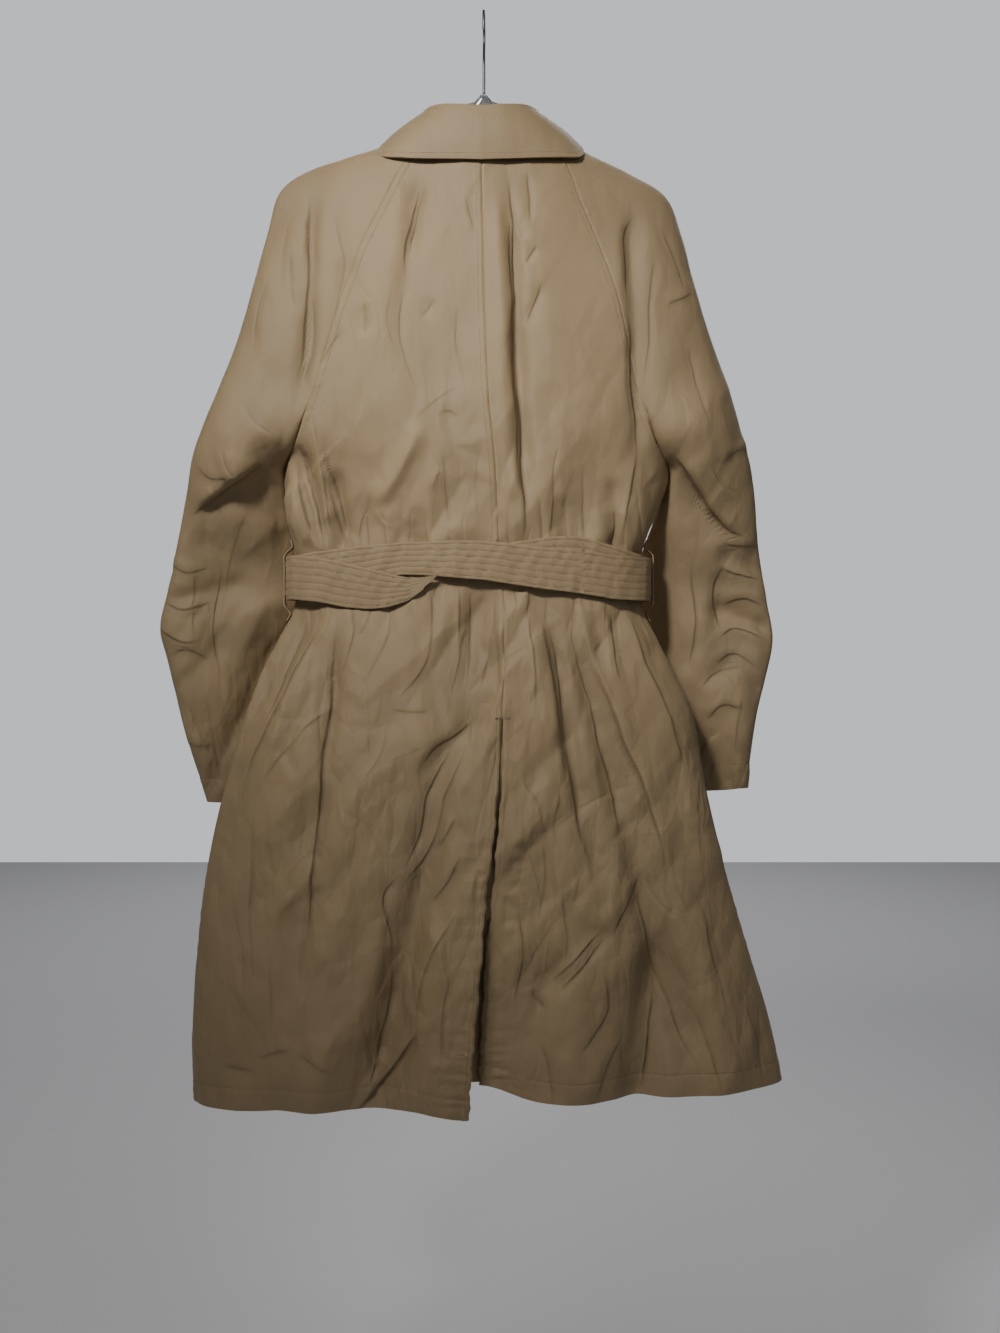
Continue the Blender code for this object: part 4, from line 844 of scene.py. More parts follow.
@dataclass
class CreaseBook:
    """All creases of the coat: the main folds, those listed one by one and the scattered ones."""

    seed: int = 7
    hinge_count: int = 70
    fine_count: int = 60
    gathers: tuple[int, int, int] = (-196, 166, 19)
    belt_edges: tuple[float, float] = (-598, -622)
    belt_level: float = -612
    elbow_level: float = -560
    level_slope: float = 1.6
    zones: tuple[Zone, ...] = (Zone.BODY, Zone.BODY, Zone.SLEEVE)
    creases: list[Crease] = field(default_factory=list)
    main_count: int = field(init=False)
    facets: dict[Face, list[Facets]] = field(init=False)

    def __post_init__(self) -> None:
        """Fills the book."""
        self.facets = {face: [Facets(31 + k, (30, 105), 3.0), Facets(41 + k, (27, 84), 2.3, -36),
                              Facets(51 + k, (15, 27), 0.7, 20)] for k, face in enumerate(Face)}
        self.add_main()
        self.main_count = len(self.creases)
        self.add_placed()
        self.add_gathers()
        self.add_hinges()
        self.add_fine()

    def add_main(self) -> None:
        """Adds the folds that the solids have too, run on a little at both ends."""
        for face, rows in MAIN_FOLDS.items():
            for zone, x0, z0, x1, z1, w0, w1, d0, d1 in rows:
                start, end = np.array([x0, z0], float), np.array([x1, z1], float)
                way = (end - start) / np.linalg.norm(end - start)
                start = start - 1.3 * w0 * way
                end = end + 1.3 * w1 * way
                relief = Relief.TROUGH if d1 < 0 else Relief.RIDGE
                self.creases.append(Crease(
                    Zone(zone), (face,), relief, (tuple(start), tuple(end)), (w0, w1),
                    (abs(d0), abs(d1)), ends=0.22))

    def add_placed(self) -> None:
        """Adds the listed creases; those that run level are taken from right to left."""
        for kind, rows in CREASES.items():
            for path, widths, depths, *lean in rows:
                lean = lean[0] if lean else 0
                across, up = np.subtract(path[-1], path[0])
                if across > self.level_slope * abs(up):
                    path, widths, depths, lean = path[::-1], widths[::-1], depths[::-1], -lean
                self.creases.append(Crease(*kind, path, widths, depths, lean))

    def add_gathers(self) -> None:
        """Adds the short upright folds that the belt gathers above and below itself."""
        chance = np.random.default_rng(self.seed)
        top, low = self.belt_edges
        for face in Face:
            for x in np.arange(*self.gathers):
                start = x + chance.uniform(-9, 9)
                up = chance.uniform(14, 100) * (0.55 + 0.45 * abs(x) / 190)
                down = chance.uniform(18, 150)
                spread = 1 + 0.24 * down / 130
                kinds = chance.choice(SHARP, 2)
                leans = chance.uniform(-0.5, 0.5, 2)
                drift = chance.uniform(-7, 7, 2)
                widths = chance.uniform(3.2, 7.0, 2)
                above = ((start, top), (start - 2 + drift[0] / 2, top + up / 2),
                         (start * 0.97 + drift[0], top + 8 + up))
                below = ((start, low), (start + 1 + drift[1] / 3, low - 2 - down / 2),
                         (start * spread + drift[1], low - 4 - down))
                for k, path, widen, end in ((0, above, 1.3, 0.5), (1, below, 1.5, 0.6)):
                    self.creases.append(Crease(
                        Zone.BODY, (face,), kinds[k], path, (widths[k], widths[k] * widen),
                        (chance.uniform(1.2, 3.6), end), leans[k]))

    def add_hinges(self) -> None:
        """Adds long sharp folds between broad flat faces, as stiff cloth makes."""
        chance = np.random.default_rng(self.seed + 4)
        for _ in range(self.hinge_count):
            x, z = chance.uniform(-330, 310), chance.uniform(-1150, -200)
            low = float(ease((-560 - z) / 200))
            turn = chance.normal(0.0, 0.32 + 0.35 * low)
            length = chance.uniform(70, 230)
            path = bent_path(x, z, turn, length, chance.uniform(-0.12, 0.12) * length)
            zone = Zone.ALL if z > -400 else chance.choice(self.zones)
            width = chance.uniform(4.5, 9.5)
            depth = chance.uniform(0.10, 0.28) * width * (0.55 + 0.6 * low)
            face = Face.BACK if chance.uniform() < 0.55 else Face.FRONT
            kind = chance.choice([Relief.CREST, Relief.VALLEY, Relief.VALLEY])
            self.creases.append(Crease(zone, (face,), kind, path, (width, width * 1.2),
                                       (depth, depth * chance.uniform(0.5, 1.1)),
                                       chance.uniform(-0.5, 0.5), 0.4))

    def add_fine(self) -> None:
        """Adds many shallow creases, scattered over body and sleeves."""
        chance = np.random.default_rng(self.seed + 1)
        for _ in range(self.fine_count):
            x, z = chance.uniform(-340, 320), chance.uniform(-1160, -170)
            turn = chance.normal(0, 0.75)
            length = chance.uniform(22, 95)
            path = bent_path(x, z, turn, length, chance.uniform(-0.18, 0.18) * length)
            zone = Zone.ALL if z > -430 else chance.choice(self.zones)
            width = chance.uniform(2.6, 7.5)
            depth = chance.uniform(0.3, 0.9) * width / 4
            face = Face.BACK if chance.uniform() < 0.6 else Face.FRONT
            self.creases.append(Crease(zone, (face,), SHARP[chance.integers(3)], path,
                                       (width, width * chance.uniform(0.6, 1.4)),
                                       (depth, depth * chance.uniform(0.4, 1.2)),
                                       chance.uniform(-0.6, 0.6), 0.35))

    def swells(self, x: np.ndarray, z: np.ndarray) -> np.ndarray:
        """The slow rise and fall of the cloth, the same on both sides of every seam.

        Args:
            x: the places' X.
            z: the places' Z.

        Returns:
            The heights.
        """
        chance = np.random.default_rng(self.seed + 2)
        total = np.zeros_like(x)
        for _ in range(16):
            turn = chance.normal(0, 0.6)
            wave = chance.uniform(70, 210)
            phase = chance.uniform(0, 2 * math.pi)
            total += chance.uniform(0.15, 0.55) * np.sin(
                2 * math.pi * (x * math.cos(turn) + z * math.sin(turn)) / wave + phase)
        return total

    def crumple(self, x: np.ndarray, z: np.ndarray, face: Face) -> np.ndarray:
        """Flat faces in two sizes, deepest at the waist, the elbows and the skirt.

        Args:
            x: the places' X.
            z: the places' Z.
            face: the face on which they lie.

        Returns:
            The heights.
        """
        low = ease((-330 - z) / 330)
        strength = 0.3 + 1.05 * low + 0.45 * bell(z, self.elbow_level, 90)
        patch = 0.65 + 0.35 * np.sin(x / 61 + 1.3 * np.sin(z / 97)) * np.sin(z / 83 + x / 140)
        belt = 1 - 0.8 * np.exp(-(((z - self.belt_level) / 32) ** 4))
        fan = 1 + np.clip(-640 - z, 0, None) / 420
        broad, *others = self.facets[face]
        total = broad.at(x / fan, z) + sum(layer.at(x, z) for layer in others)
        return total * strength * patch * belt

    def height(self, grid: np.ndarray, face: Face, sleeve: bool, zone_fade: np.ndarray,
               side_fade: np.ndarray) -> tuple[np.ndarray, np.ndarray, np.ndarray]:
        """How far the creases lift each point of a grid off the smooth shell, and their lines.

        Args:
            grid: the smooth points.
            face: the way the piece faces.
            sleeve: whether the piece is a sleeve.
            zone_fade: from 0 at the raglan seam, where the zones part, to 1.
            side_fade: from 0 at the seams between back and front, to 1.

        Returns:
            The height of each point, its distance off the nearest sharp line, and how strong
            that line is there.
        """
        x, z = grid[..., 0], grid[..., 2]
        moved = wander(x, z, self.seed + 3)
        own = Zone.SLEEVE if sleeve else Zone.BODY
        total = (self.swells(x, z) + self.crumple(*moved, face)) * side_fade
        weights, beside, away, strength = (np.zeros_like(x) for _ in range(4))
        for number, crease in enumerate(self.creases):
            if face not in crease.faces or crease.zone not in (Zone.ALL, own):
                continue
            places = (x, z) if number < self.main_count else moved
            lift, off, pull = crease.measure(*places)
            fade = zone_fade if crease.zone is not Zone.ALL else 1.0
            if len(crease.faces) == 1:
                fade = fade * side_fade
            total += lift * fade
            pull = pull * fade * np.clip(1 - np.abs(off) / LINE_REACH, 0, None)
            weight = pull**3
            weights += weight
            beside += weight * off
            away += weight * np.abs(off)
            strength += weight * pull
        weights = np.maximum(weights, 1e-9)
        beside, away, strength = beside / weights, away / weights, strength / weights
        agreed = np.abs(beside) / np.maximum(away, 1e-6)
        agreed = agreed + (1 - agreed) * bell(away, 0, 1.6)
        return total, beside, np.clip(agreed * strength / LINE_DEPTH, 0, 1)


# How far stitches stand off the cloth
THREAD_LIFT = 0.1


@dataclass
class Panel:
    """One cut piece of the shell: its outer face as a grid, with the way out at each point."""

    name: str
    face: Face
    sleeve: bool
    smooth_grid: np.ndarray
    normals: np.ndarray = field(default_factory=lambda: np.zeros(0))
    grid: np.ndarray = field(default_factory=lambda: np.zeros(0))
    relief: np.ndarray = field(default_factory=lambda: np.zeros(0))
    beside: np.ndarray = field(default_factory=lambda: np.zeros(0))
    pull: np.ndarray = field(default_factory=lambda: np.zeros(0))

    def across(self) -> np.ndarray:
        """Each point's distance along its row from the piece's first edge."""
        return grid_distance(self.smooth_grid, 1)

    def down(self) -> np.ndarray:
        """Each point's distance down its column from the piece's top."""
        return grid_distance(self.smooth_grid, 0)

    def edge_line(self, offset: float, last: bool = False, rows: slice = slice(None),
                  ) -> np.ndarray:
        """A line on the outer face, a distance in from one long edge.

        Args:
            offset: the distance from the edge.
            last: whether it is the outer or inner seam's edge, not the first one.
            rows: the rows that it runs over.

        Returns:
            The line's points.
        """
        surface = self.grid + THREAD_LIFT * self.normals
        return np.array([points_at(distances[-1] - offset if last else offset, distances, row)
                         for distances, row in zip(self.across()[rows], surface[rows])])

    def level_line(self, offset: float, margin: int = 2) -> np.ndarray:
        """A line across the outer face, a distance up from the piece's lower edge.

        Args:
            offset: the distance from the edge.
            margin: how many columns it leaves free at both ends.

        Returns:
            The line's points.
        """
        surface = self.grid + THREAD_LIFT * self.normals
        down = self.down()
        return np.array([points_at(down[-1, k] - offset, down[:, k], surface[:, k])
                         for k in range(margin, self.grid.shape[1] - margin)])


def even_rows(points: np.ndarray, count: int, edge: Sequence[float]) -> np.ndarray:
    """A section's points at even distances, with finer steps beside both of its ends.

    Args:
        points: the section.
        count: how many even steps it takes.
        edge: distances from each end where a point lies as well.

    Returns:
        The points.
    """
    along = run_length(points)
    fine = np.array(edge) * min(1.0, along[-1] / (3 * edge[-1]))
    middle = np.linspace(fine[-1], along[-1] - fine[-1], count + 1)[1:-1]
    return points_at(np.concatenate([fine, middle, (along[-1] - fine)[::-1]]), along, points)


def cell_normals(grid: np.ndarray, outward: int) -> np.ndarray:
    """A normal at each point of a grid, weighted by area.

    Args:
        grid: the points.
        outward: the way that the grid faces along Y, -1 or 1.

    Returns:
        The normals, longer where the cells round a point are larger.
    """
    across = np.cross(grid[1:, 1:] - grid[:-1, :-1], grid[1:, :-1] - grid[:-1, 1:])
    if np.sign(across[..., 1].sum()) != outward:
        across = -across
    total = np.zeros_like(grid)
    for down in (0, 1):
        for side in (0, 1):
            rows = slice(down, grid.shape[0] - 1 + down)
            columns = slice(side, grid.shape[1] - 1 + side)
            total[rows, columns] += across
    return total


def shown(name: str, data: bpy.types.ID) -> bpy.types.Object:
    """A new object in the scene for a mesh, a lamp or a camera."""
    item = bpy.data.objects.new(name, data)
    bpy.context.scene.collection.objects.link(item)
    return item


def grid_quads(index: np.ndarray) -> np.ndarray:
    """The four-sided faces between neighbours in a grid of point numbers."""
    return np.stack([index[:-1, :-1], index[:-1, 1:], index[1:, 1:], index[1:, :-1]],
                    axis=-1).reshape(-1, 4)


def mesh_object(name: str, points: np.ndarray, faces: np.ndarray | list, angle: float = 60,
                ) -> bpy.types.Object:
    """A smooth-shaded object.

    Args:
        name: the object's name.
        points: its points, in millimetres.
        faces: its faces, as point numbers.
        angle: the angle in degrees from which an edge is sharp.

    Returns:
        The object.
    """
    mesh = bpy.data.meshes.new(name)
    mesh.from_pydata((np.asarray(points) * MM).tolist(), [],
                     faces.tolist() if isinstance(faces, np.ndarray) else faces)
    mesh.shade_smooth()
    mesh.set_sharp_from_angle(angle=math.radians(angle))
    return shown(name, mesh)


def cloth_object(name: str, outer: np.ndarray, inner: np.ndarray, relief: np.ndarray | None = None,
                 uv: np.ndarray | None = None, lines: tuple[np.ndarray, np.ndarray] | None = None,
                 ) -> bpy.types.Object:
    """A sheet with both its faces and its cut edges, between two grids of the same shape.

    Args:
        name: the object's name.
        outer: the points of the face that shows.
        inner: the points behind them.
        relief: the height of the creases, kept as the attribute relief; from it the finish paints
            shade in the troughs and lightens the ridges as wear.
        uv: the place of each point on the cloth, in metres across and along its threads.
        lines: each point's distance off the nearest sharp crease, and that crease's strength; from
            them the finish paints shade along the crease and a highlight beside it, and bends its
            normal.

    Returns:
        The object. Its second material slot is for the inner face.
    """
    rows, columns = outer.shape[:2]
    size = rows * columns
    index = np.arange(size).reshape(rows, columns)
    quads = grid_quads(index)
    rim = np.concatenate([index[0, ::-1], index[1:, 0], index[-1, 1:], index[-2::-1, -1]])
    rim = np.stack([rim[:-1], rim[1:], rim[1:] + size, rim[:-1] + size], axis=-1)
    faces = np.concatenate([quads, quads[:, ::-1] + size, rim])
    corner = outer.reshape(-1, 3)[quads]
    facing = np.cross(corner[:, 2] - corner[:, 0], corner[:, 3] - corner[:, 1])
    if np.sum(facing * (outer - inner).reshape(-1, 3)[quads[:, 0]]) < 0:
        faces = faces[:, ::-1]
    item = mesh_object(name, np.concatenate([outer.reshape(-1, 3), inner.reshape(-1, 3)]), faces)
    mesh = item.data
    inside = np.zeros(len(faces), np.int32)
    inside[len(quads):2 * len(quads)] = 1
    mesh.polygons.foreach_set("material_index", inside)
    flat = np.zeros((rows, columns))
    beside, pull = lines or (flat, flat)
    for key, values in (("relief", flat if relief is None else relief), ("beside", beside),
                        ("pull", pull)):
        layer = mesh.attributes.new(key, "FLOAT", "POINT")
        layer.data.foreach_set("value", np.tile(values.reshape(-1), 2).astype(np.float32))
    if uv is None:
        uv = np.stack([grid_distance(outer, 1), grid_distance(outer, 0)], axis=-1) * MM
    corners = np.empty(len(mesh.loops), np.int32)
    mesh.loops.foreach_get("vertex_index", corners)
    place = np.tile(uv.reshape(-1, 2), (2, 1))[corners]
    mesh.uv_layers.new(name="cloth").data.foreach_set("uv", place.astype(np.float32).reshape(-1))
    return item


class NodeSheet:
    """A material's nodes, added and linked by short calls."""

    def __init__(self, name: str) -> None:
        """Starts a material with its principled shader and a place on the object."""
        self.material = bpy.data.materials.new(name)
        self.material.use_nodes = True
        self.tree = self.material.node_tree
        self.shader = self.tree.nodes["Principled BSDF"]
        self.place = self.add("ShaderNodeTexCoord").outputs["Object"]

    def add(self, kind: str, inputs: dict[str, object] | None = None, **settings: object,
            ) -> bpy.types.Node:
        """Adds a node.

        Args:
            kind: the node's type.
            inputs: input name to a number, a colour or another node's output.
            settings: the node's own properties.

        Returns:
            The node.
        """
        node = self.tree.nodes.new(kind)
        for key, value in settings.items():
            setattr(node, key, value)
        for key, value in (inputs or {}).items():
            self.feed(node.inputs[key], value)
        return node

    def feed(self, socket: bpy.types.NodeSocket, value: object) -> None:
        """Links an output to a socket, or sets the socket's own value.

        Args:
            socket: the socket.
            value: another node's output, or a value.
        """
        if isinstance(value, bpy.types.NodeSocket):
            self.tree.links.new(value, socket)
        else:
            socket.default_value = value

    def surface(self, **inputs: object) -> None:
        """Feeds the shader's sockets; an underscore in a name stands for a space."""
        for key, value in inputs.items():
            self.feed(self.shader.inputs[key.replace("_", " ")], value)

    def mix(self, factor: object, first: object, second: object) -> bpy.types.NodeSocket:
        """The colour between two colours."""
        return self.add("ShaderNodeMix", {0: factor, 6: first, 7: second},
                        data_type="RGBA").outputs[2]

    def span(self, value: object, low: float, high: float, to_low: float = 0.0,
             to_high: float = 1.0) -> bpy.types.NodeSocket:
        """A value moved from one range to another.

        Args:
            value: the value.
            low: where the first range starts.
            high: where it ends.
            to_low: where the second range starts.
            to_high: where it ends.

        Returns:
            The moved value.
        """
        return self.add("ShaderNodeMapRange", {
            "Value": value, "From Min": low, "From Max": high,
            "To Min": to_low, "To Max": to_high}).outputs[0]

    def sum_up(self, operation: str, first: object, *others: object) -> bpy.types.NodeSocket:
        """Values joined one after another by an operation.

        Args:
            operation: the operation's name.
            first: the first value.
            others: the values that follow.

        Returns:
            The result.
        """
        for other in others:
            first = self.add("ShaderNodeMath", {0: first, 1: other},
                             operation=operation).outputs[0]
        return first

    def ramp(self, value: bpy.types.NodeSocket, low: float, top: float, high: float,
             ) -> bpy.types.NodeSocket:
        """A rise from 0 at low to 1 at top and a fall to 0 at high."""
        return self.sum_up("MINIMUM", self.span(value, low, top), self.span(value, top, high, 1, 0))

    def moved(self, vector: bpy.types.NodeSocket, scale: Colour,
              turn: tuple[float, float, float] = (0, 0, 0)) -> bpy.types.NodeSocket:
        """A place stretched along its axes, and turned."""
        return self.add("ShaderNodeMapping", {
            "Vector": vector, "Rotation": turn, "Scale": scale}).outputs[0]

    def noise(self, vector: bpy.types.NodeSocket, scale: float, detail: float = 3,
              rough: float = 0.55) -> bpy.types.NodeSocket:
        """A noise from 0 to 1."""
        return self.add("ShaderNodeTexNoise", {
            "Vector": vector, "Scale": scale, "Detail": detail, "Roughness": rough}).outputs[0]

    def facets(self, vector: bpy.types.NodeSocket, share: bpy.types.NodeSocket,
               ) -> bpy.types.NodeSocket:
        """A height of flat faces that meet in sharp lines, as crumpled stiff cloth has.

        Args:
            vector: the place on the cloth.
            share: how much of the height each place has.

        Returns:
            The height.
        """
        drift = self.add("ShaderNodeTexNoise", {"Vector": vector, "Scale": 26.0, "Detail": 2.0})
        drift = self.add("ShaderNodeVectorMath", {
            0: drift.outputs["Color"], 1: (0.016, 0.016, 0.016)}, operation="MULTIPLY").outputs[0]
        bent = self.add("ShaderNodeVectorMath", {0: vector, 1: drift}, operation="ADD").outputs[0]
        turned = self.moved(bent, (1.0, 1.0, 0.6), (0, 0.9, 0.2))
        layers = [
            self.sum_up("MULTIPLY", self.add(
                "ShaderNodeTexVoronoi", {"Vector": place, "Scale": scale},
                feature="DISTANCE_TO_EDGE").outputs["Distance"], size)
            for place, scale, size in ((bent, 30.0, 1.0), (turned, 22.0, -0.8), (bent, 64.0, 0.3))]
        return self.sum_up("MULTIPLY", self.sum_up("ADD", *layers), share)

    def bumps(self, *layers: tuple[bpy.types.NodeSocket, float, float]) -> bpy.types.NodeSocket:
        """A normal bent by heights in turn, each with its distance in metres and its strength.

        Args:
            layers: each height with its distance and strength, the lowest first.

        Returns:
            The normal.
        """
        normal = None
        for height, distance, strength in layers:
            node = self.add("ShaderNodeBump", {
                "Height": height, "Distance": distance, "Strength": strength})
            if normal is not None:
                self.feed(node.inputs["Normal"], normal)
            normal = node.outputs[0]
        return normal


def shade(colour: Colour, share: float) -> tuple[float, float, float, float]:
    """A colour made lighter or darker."""
    return (colour[0] * share, colour[1] * share, colour[2] * share, 1.0)


@dataclass(frozen=True)
class Finish:
    """What a surface is called and its main colour."""

    name: str
    colour: Colour


@dataclass(frozen=True)
class ClothFinish(Finish):
    """Woven cloth: twill or plain threads, sharp creases with painted shade along their lines and a
    painted highlight beside them, painted shade in the troughs, ridges lightened as wear and a
    faint sheen.
    """

    roughness: float = 0.58
    sheen: float = 0.06
    twill_pitch: float = 0.0011
    twill_turn: float = 62.0
    weave_depth: float = 0.00022
    wrinkle_depth: float = 0.0011
    mottle: float = 0.07

    def shadow(self) -> tuple[float, float, float, float]:
        """Painted shade for the cloth down in its creases: a duller, darker colour."""
        grey = sum(self.colour) / 3
        return tuple(0.5 * (0.6 * part + 0.4 * grey) for part in self.colour) + (1.0,)

    def build(self) -> bpy.types.Material:
        """Makes the material."""
        sheet = NodeSheet(self.name)
        threads = sheet.add("ShaderNodeUVMap", uv_map="cloth").outputs[0]
        turned = sheet.moved(threads, (1, 1, 1), (0, 0, math.radians(self.twill_turn)))
        twill = sheet.add("ShaderNodeTexWave", {
            "Vector": turned, "Scale": 0.314 / self.twill_pitch, "Distortion": 0.6,
            "Detail": 1.0, "Detail Scale": 2.0}, wave_type="BANDS").outputs[1]
        slub = sheet.noise(sheet.moved(threads, (1.0, 0.12, 1.0)), 2600, 2)
        cloudy = sheet.noise(sheet.place, 5.5, 4)
        relief, beside, pull = (
            sheet.add("ShaderNodeAttribute", attribute_name=name).outputs["Fac"]
            for name in ("relief", "beside", "pull"))
        # Painted shade: low relief darkens the cloth in the troughs of the creases; high relief
        # lightens the ridges as wear.
        wear_and_crease_shade = sheet.span(relief, -5.0, 5.0)
        # lip is a painted highlight on the cloth just beside a sharp crease line.
        lip = sheet.sum_up("MULTIPLY", sheet.ramp(beside, -5.0, -2.4, -0.6), pull, 0.34)
        # line is painted shade along a sharp crease line, in dark brown.
        line = sheet.sum_up("MULTIPLY", sheet.ramp(beside, -1.4, 0.3, 4.6), pull, 0.62)
        colour = sheet.mix(sheet.span(cloudy, 0.3, 0.7), shade(self.colour, 1 - self.mottle),
                           shade(self.colour, 1 + self.mottle))
        # Tints in turn: painted shade in the troughs, wear on the ridges, the painted highlight and
        # the painted shade of crease lines, slubs and twill.
        for share, tint in ((sheet.span(wear_and_crease_shade, 0, 0.5, 0.13, 0.0), self.shadow()),
                            (sheet.span(wear_and_crease_shade, 0.5, 1.0, 0.0, 0.2), shade(self.colour, 1.14)),
                            (lip, shade(self.colour, 1.2)),
                            (line, shade(self.colour, 0.4)),
                            (sheet.span(slub, 0.35, 0.65, 0.0, 0.16), shade(self.colour, 0.8)),
                            (sheet.span(twill, 0, 1, 0.12, 0.0), shade(self.colour, 0.7))):
            colour = sheet.mix(share, colour, tint)
        drawn = sheet.moved(sheet.place, (1.0, 1.0, 0.45), (0, 0.25, 0))
        level = sheet.add("ShaderNodeSeparateXYZ", {"Vector": sheet.place}).outputs["Z"]
        patchy = sheet.sum_up("MULTIPLY", sheet.span(level, -0.95, -0.4, 1.35, 0.35),
                              sheet.span(sheet.noise(sheet.place, 7.0, 2), 0.4, 0.6, 0.35, 1.0))
        folds = sheet.sum_up("MULTIPLY", sheet.ramp(beside, -1.8, 0.5, 9.0), pull, -1.0)
        wrinkle, weave = self.wrinkle_depth, self.weave_depth
        normal = sheet.bumps(
            (sheet.noise(drawn, 16, 3), wrinkle * 2, 0.3),
            (folds, wrinkle * 1.5, 1.0),
            (sheet.facets(drawn, patchy), wrinkle * 4.4, 1.0),
            (sheet.noise(drawn, 70, 4, 0.6), wrinkle, 0.35),
            (twill, weave, 0.5),
            (slub, weave, 0.3))
        dull = sheet.span(cloudy, 0.2, 0.8, self.roughness - 0.05, self.roughness + 0.07)
        sheet.surface(Base_Color=colour, Normal=normal, Roughness=dull)
        sheet.shader.inputs["Sheen Weight"].default_value = self.sheen
        sheet.shader.inputs["Sheen Roughness"].default_value = 0.45
        sheet.shader.inputs["Specular IOR Level"].default_value = 0.45
        return sheet.material


@dataclass(frozen=True)
class ThreadFinish(Finish):
    """Sewing thread: a twisted strand with a soft shine."""

    def build(self) -> bpy.types.Material:
        """Makes the material."""
        sheet = NodeSheet(self.name)
        strand = sheet.add("ShaderNodeTexWave", {
            "Vector": sheet.place, "Scale": 700.0, "Distortion": 0.5},
            bands_direction="DIAGONAL").outputs[1]
        sheet.surface(Base_Color=sheet.mix(sheet.noise(sheet.place, 300, 2),
                                           shade(self.colour, 0.8), shade(self.colour, 1.2)),
                      Normal=sheet.bumps((strand, 0.0001, 0.6)))
        sheet.shader.inputs["Roughness"].default_value = 0.5
        sheet.shader.inputs["Sheen Weight"].default_value = 0.05
        return sheet.material


@dataclass(frozen=True)
class PlasticFinish(Finish):
    """Clear moulded plastic with faint flow marks."""

    roughness: float = 0.09

    def build(self) -> bpy.types.Material:
        """Makes the material."""
        sheet = NodeSheet(self.name)
        flow = sheet.noise(sheet.moved(sheet.place, (0.3, 1.0, 1.0)), 160, 3)
        sheet.surface(
            Base_Color=sheet.mix(flow, shade(self.colour, 0.95), shade(self.colour, 1.0)),
            Roughness=sheet.span(flow, 0.3, 0.7, self.roughness, self.roughness + 0.08),
            Normal=sheet.bumps((flow, 0.0004, 0.3)))
        sheet.shader.inputs["Transmission Weight"].default_value = 0.92
        sheet.shader.inputs["IOR"].default_value = 1.49
        return sheet.material


@dataclass(frozen=True)
class SteelFinish(Finish):
    """Drawn steel wire, with fine lines along it and dull spots."""

    def build(self) -> bpy.types.Material:
        """Makes the material."""
        sheet = NodeSheet(self.name)
        lines = sheet.noise(sheet.moved(sheet.place, (1.0, 1.0, 0.05)), 3000, 2)
        spots = sheet.noise(sheet.place, 220, 3)
        sheet.surface(
            Base_Color=sheet.mix(spots, shade(self.colour, 0.75), shade(self.colour, 1.05)),
            Roughness=sheet.span(spots, 0.3, 0.7, 0.42, 0.58),
            Normal=sheet.bumps((lines, 0.00005, 0.5)))
        sheet.shader.inputs["Metallic"].default_value = 1.0
        return sheet.material


@dataclass(frozen=True)
class HornFinish(Finish):
    """Polished horn for buttons: dark streaks in brown, under a clear shine."""

    def build(self) -> bpy.types.Material:
        """Makes the material."""
        sheet = NodeSheet(self.name)
        streak = sheet.noise(sheet.moved(sheet.place, (1.0, 1.0, 0.25), (0, 0.6, 0)), 260, 4)
        sheet.surface(
            Base_Color=sheet.mix(sheet.span(streak, 0.35, 0.65), shade(self.colour, 0.55),
                                 shade(self.colour, 2.1)),
            Roughness=sheet.span(streak, 0.3, 0.7, 0.22, 0.36))
        sheet.shader.inputs["Coat Weight"].default_value = 0.4
        sheet.shader.inputs["Coat Roughness"].default_value = 0.12
        return sheet.material


@dataclass(frozen=True)
class FloorFinish(Finish):
    """A plain pale floor."""

    def build(self) -> bpy.types.Material:
        """Makes the material."""
        sheet = NodeSheet(self.name)
        sheet.surface(Base_Color=sheet.mix(sheet.noise(sheet.place, 1.5, 3),
                                           shade(self.colour, 0.97), shade(self.colour, 1.0)))
        sheet.shader.inputs["Roughness"].default_value = 0.85
        return sheet.material


@dataclass
class Finishes:
    """Every finish of the coat and its hanger, made once."""

    gabardine: bpy.types.Material = field(init=False)
    lining: bpy.types.Material = field(init=False)
    belting: bpy.types.Material = field(init=False)
    thread: bpy.types.Material = field(init=False)
    horn: bpy.types.Material = field(init=False)
    plastic: bpy.types.Material = field(init=False)
    steel: bpy.types.Material = field(init=False)
    floor: bpy.types.Material = field(init=False)

    def __post_init__(self) -> None:
        """Makes them all."""
        tan = (0.345, 0.245, 0.130)
        self.gabardine = ClothFinish("gabardine", tan).build()
        self.lining = ClothFinish("lining", (0.24, 0.18, 0.12), roughness=0.5, sheen=0.1,
                                  weave_depth=0.0001, twill_pitch=0.0006).build()
        self.belting = ClothFinish("belting", (0.345, 0.245, 0.132), mottle=0.05,
                                   wrinkle_depth=0.0007).build()
        self.thread = ThreadFinish("sewing_thread", (0.255, 0.178, 0.100)).build()
        self.horn = HornFinish("button_horn", (0.10, 0.06, 0.035)).build()
        self.plastic = PlasticFinish("clear_plastic", (0.93, 0.95, 0.95)).build()
        self.steel = SteelFinish("steel_wire", (0.21, 0.21, 0.22)).build()
        self.floor = FloorFinish("pale_floor", (0.64, 0.64, 0.66)).build()


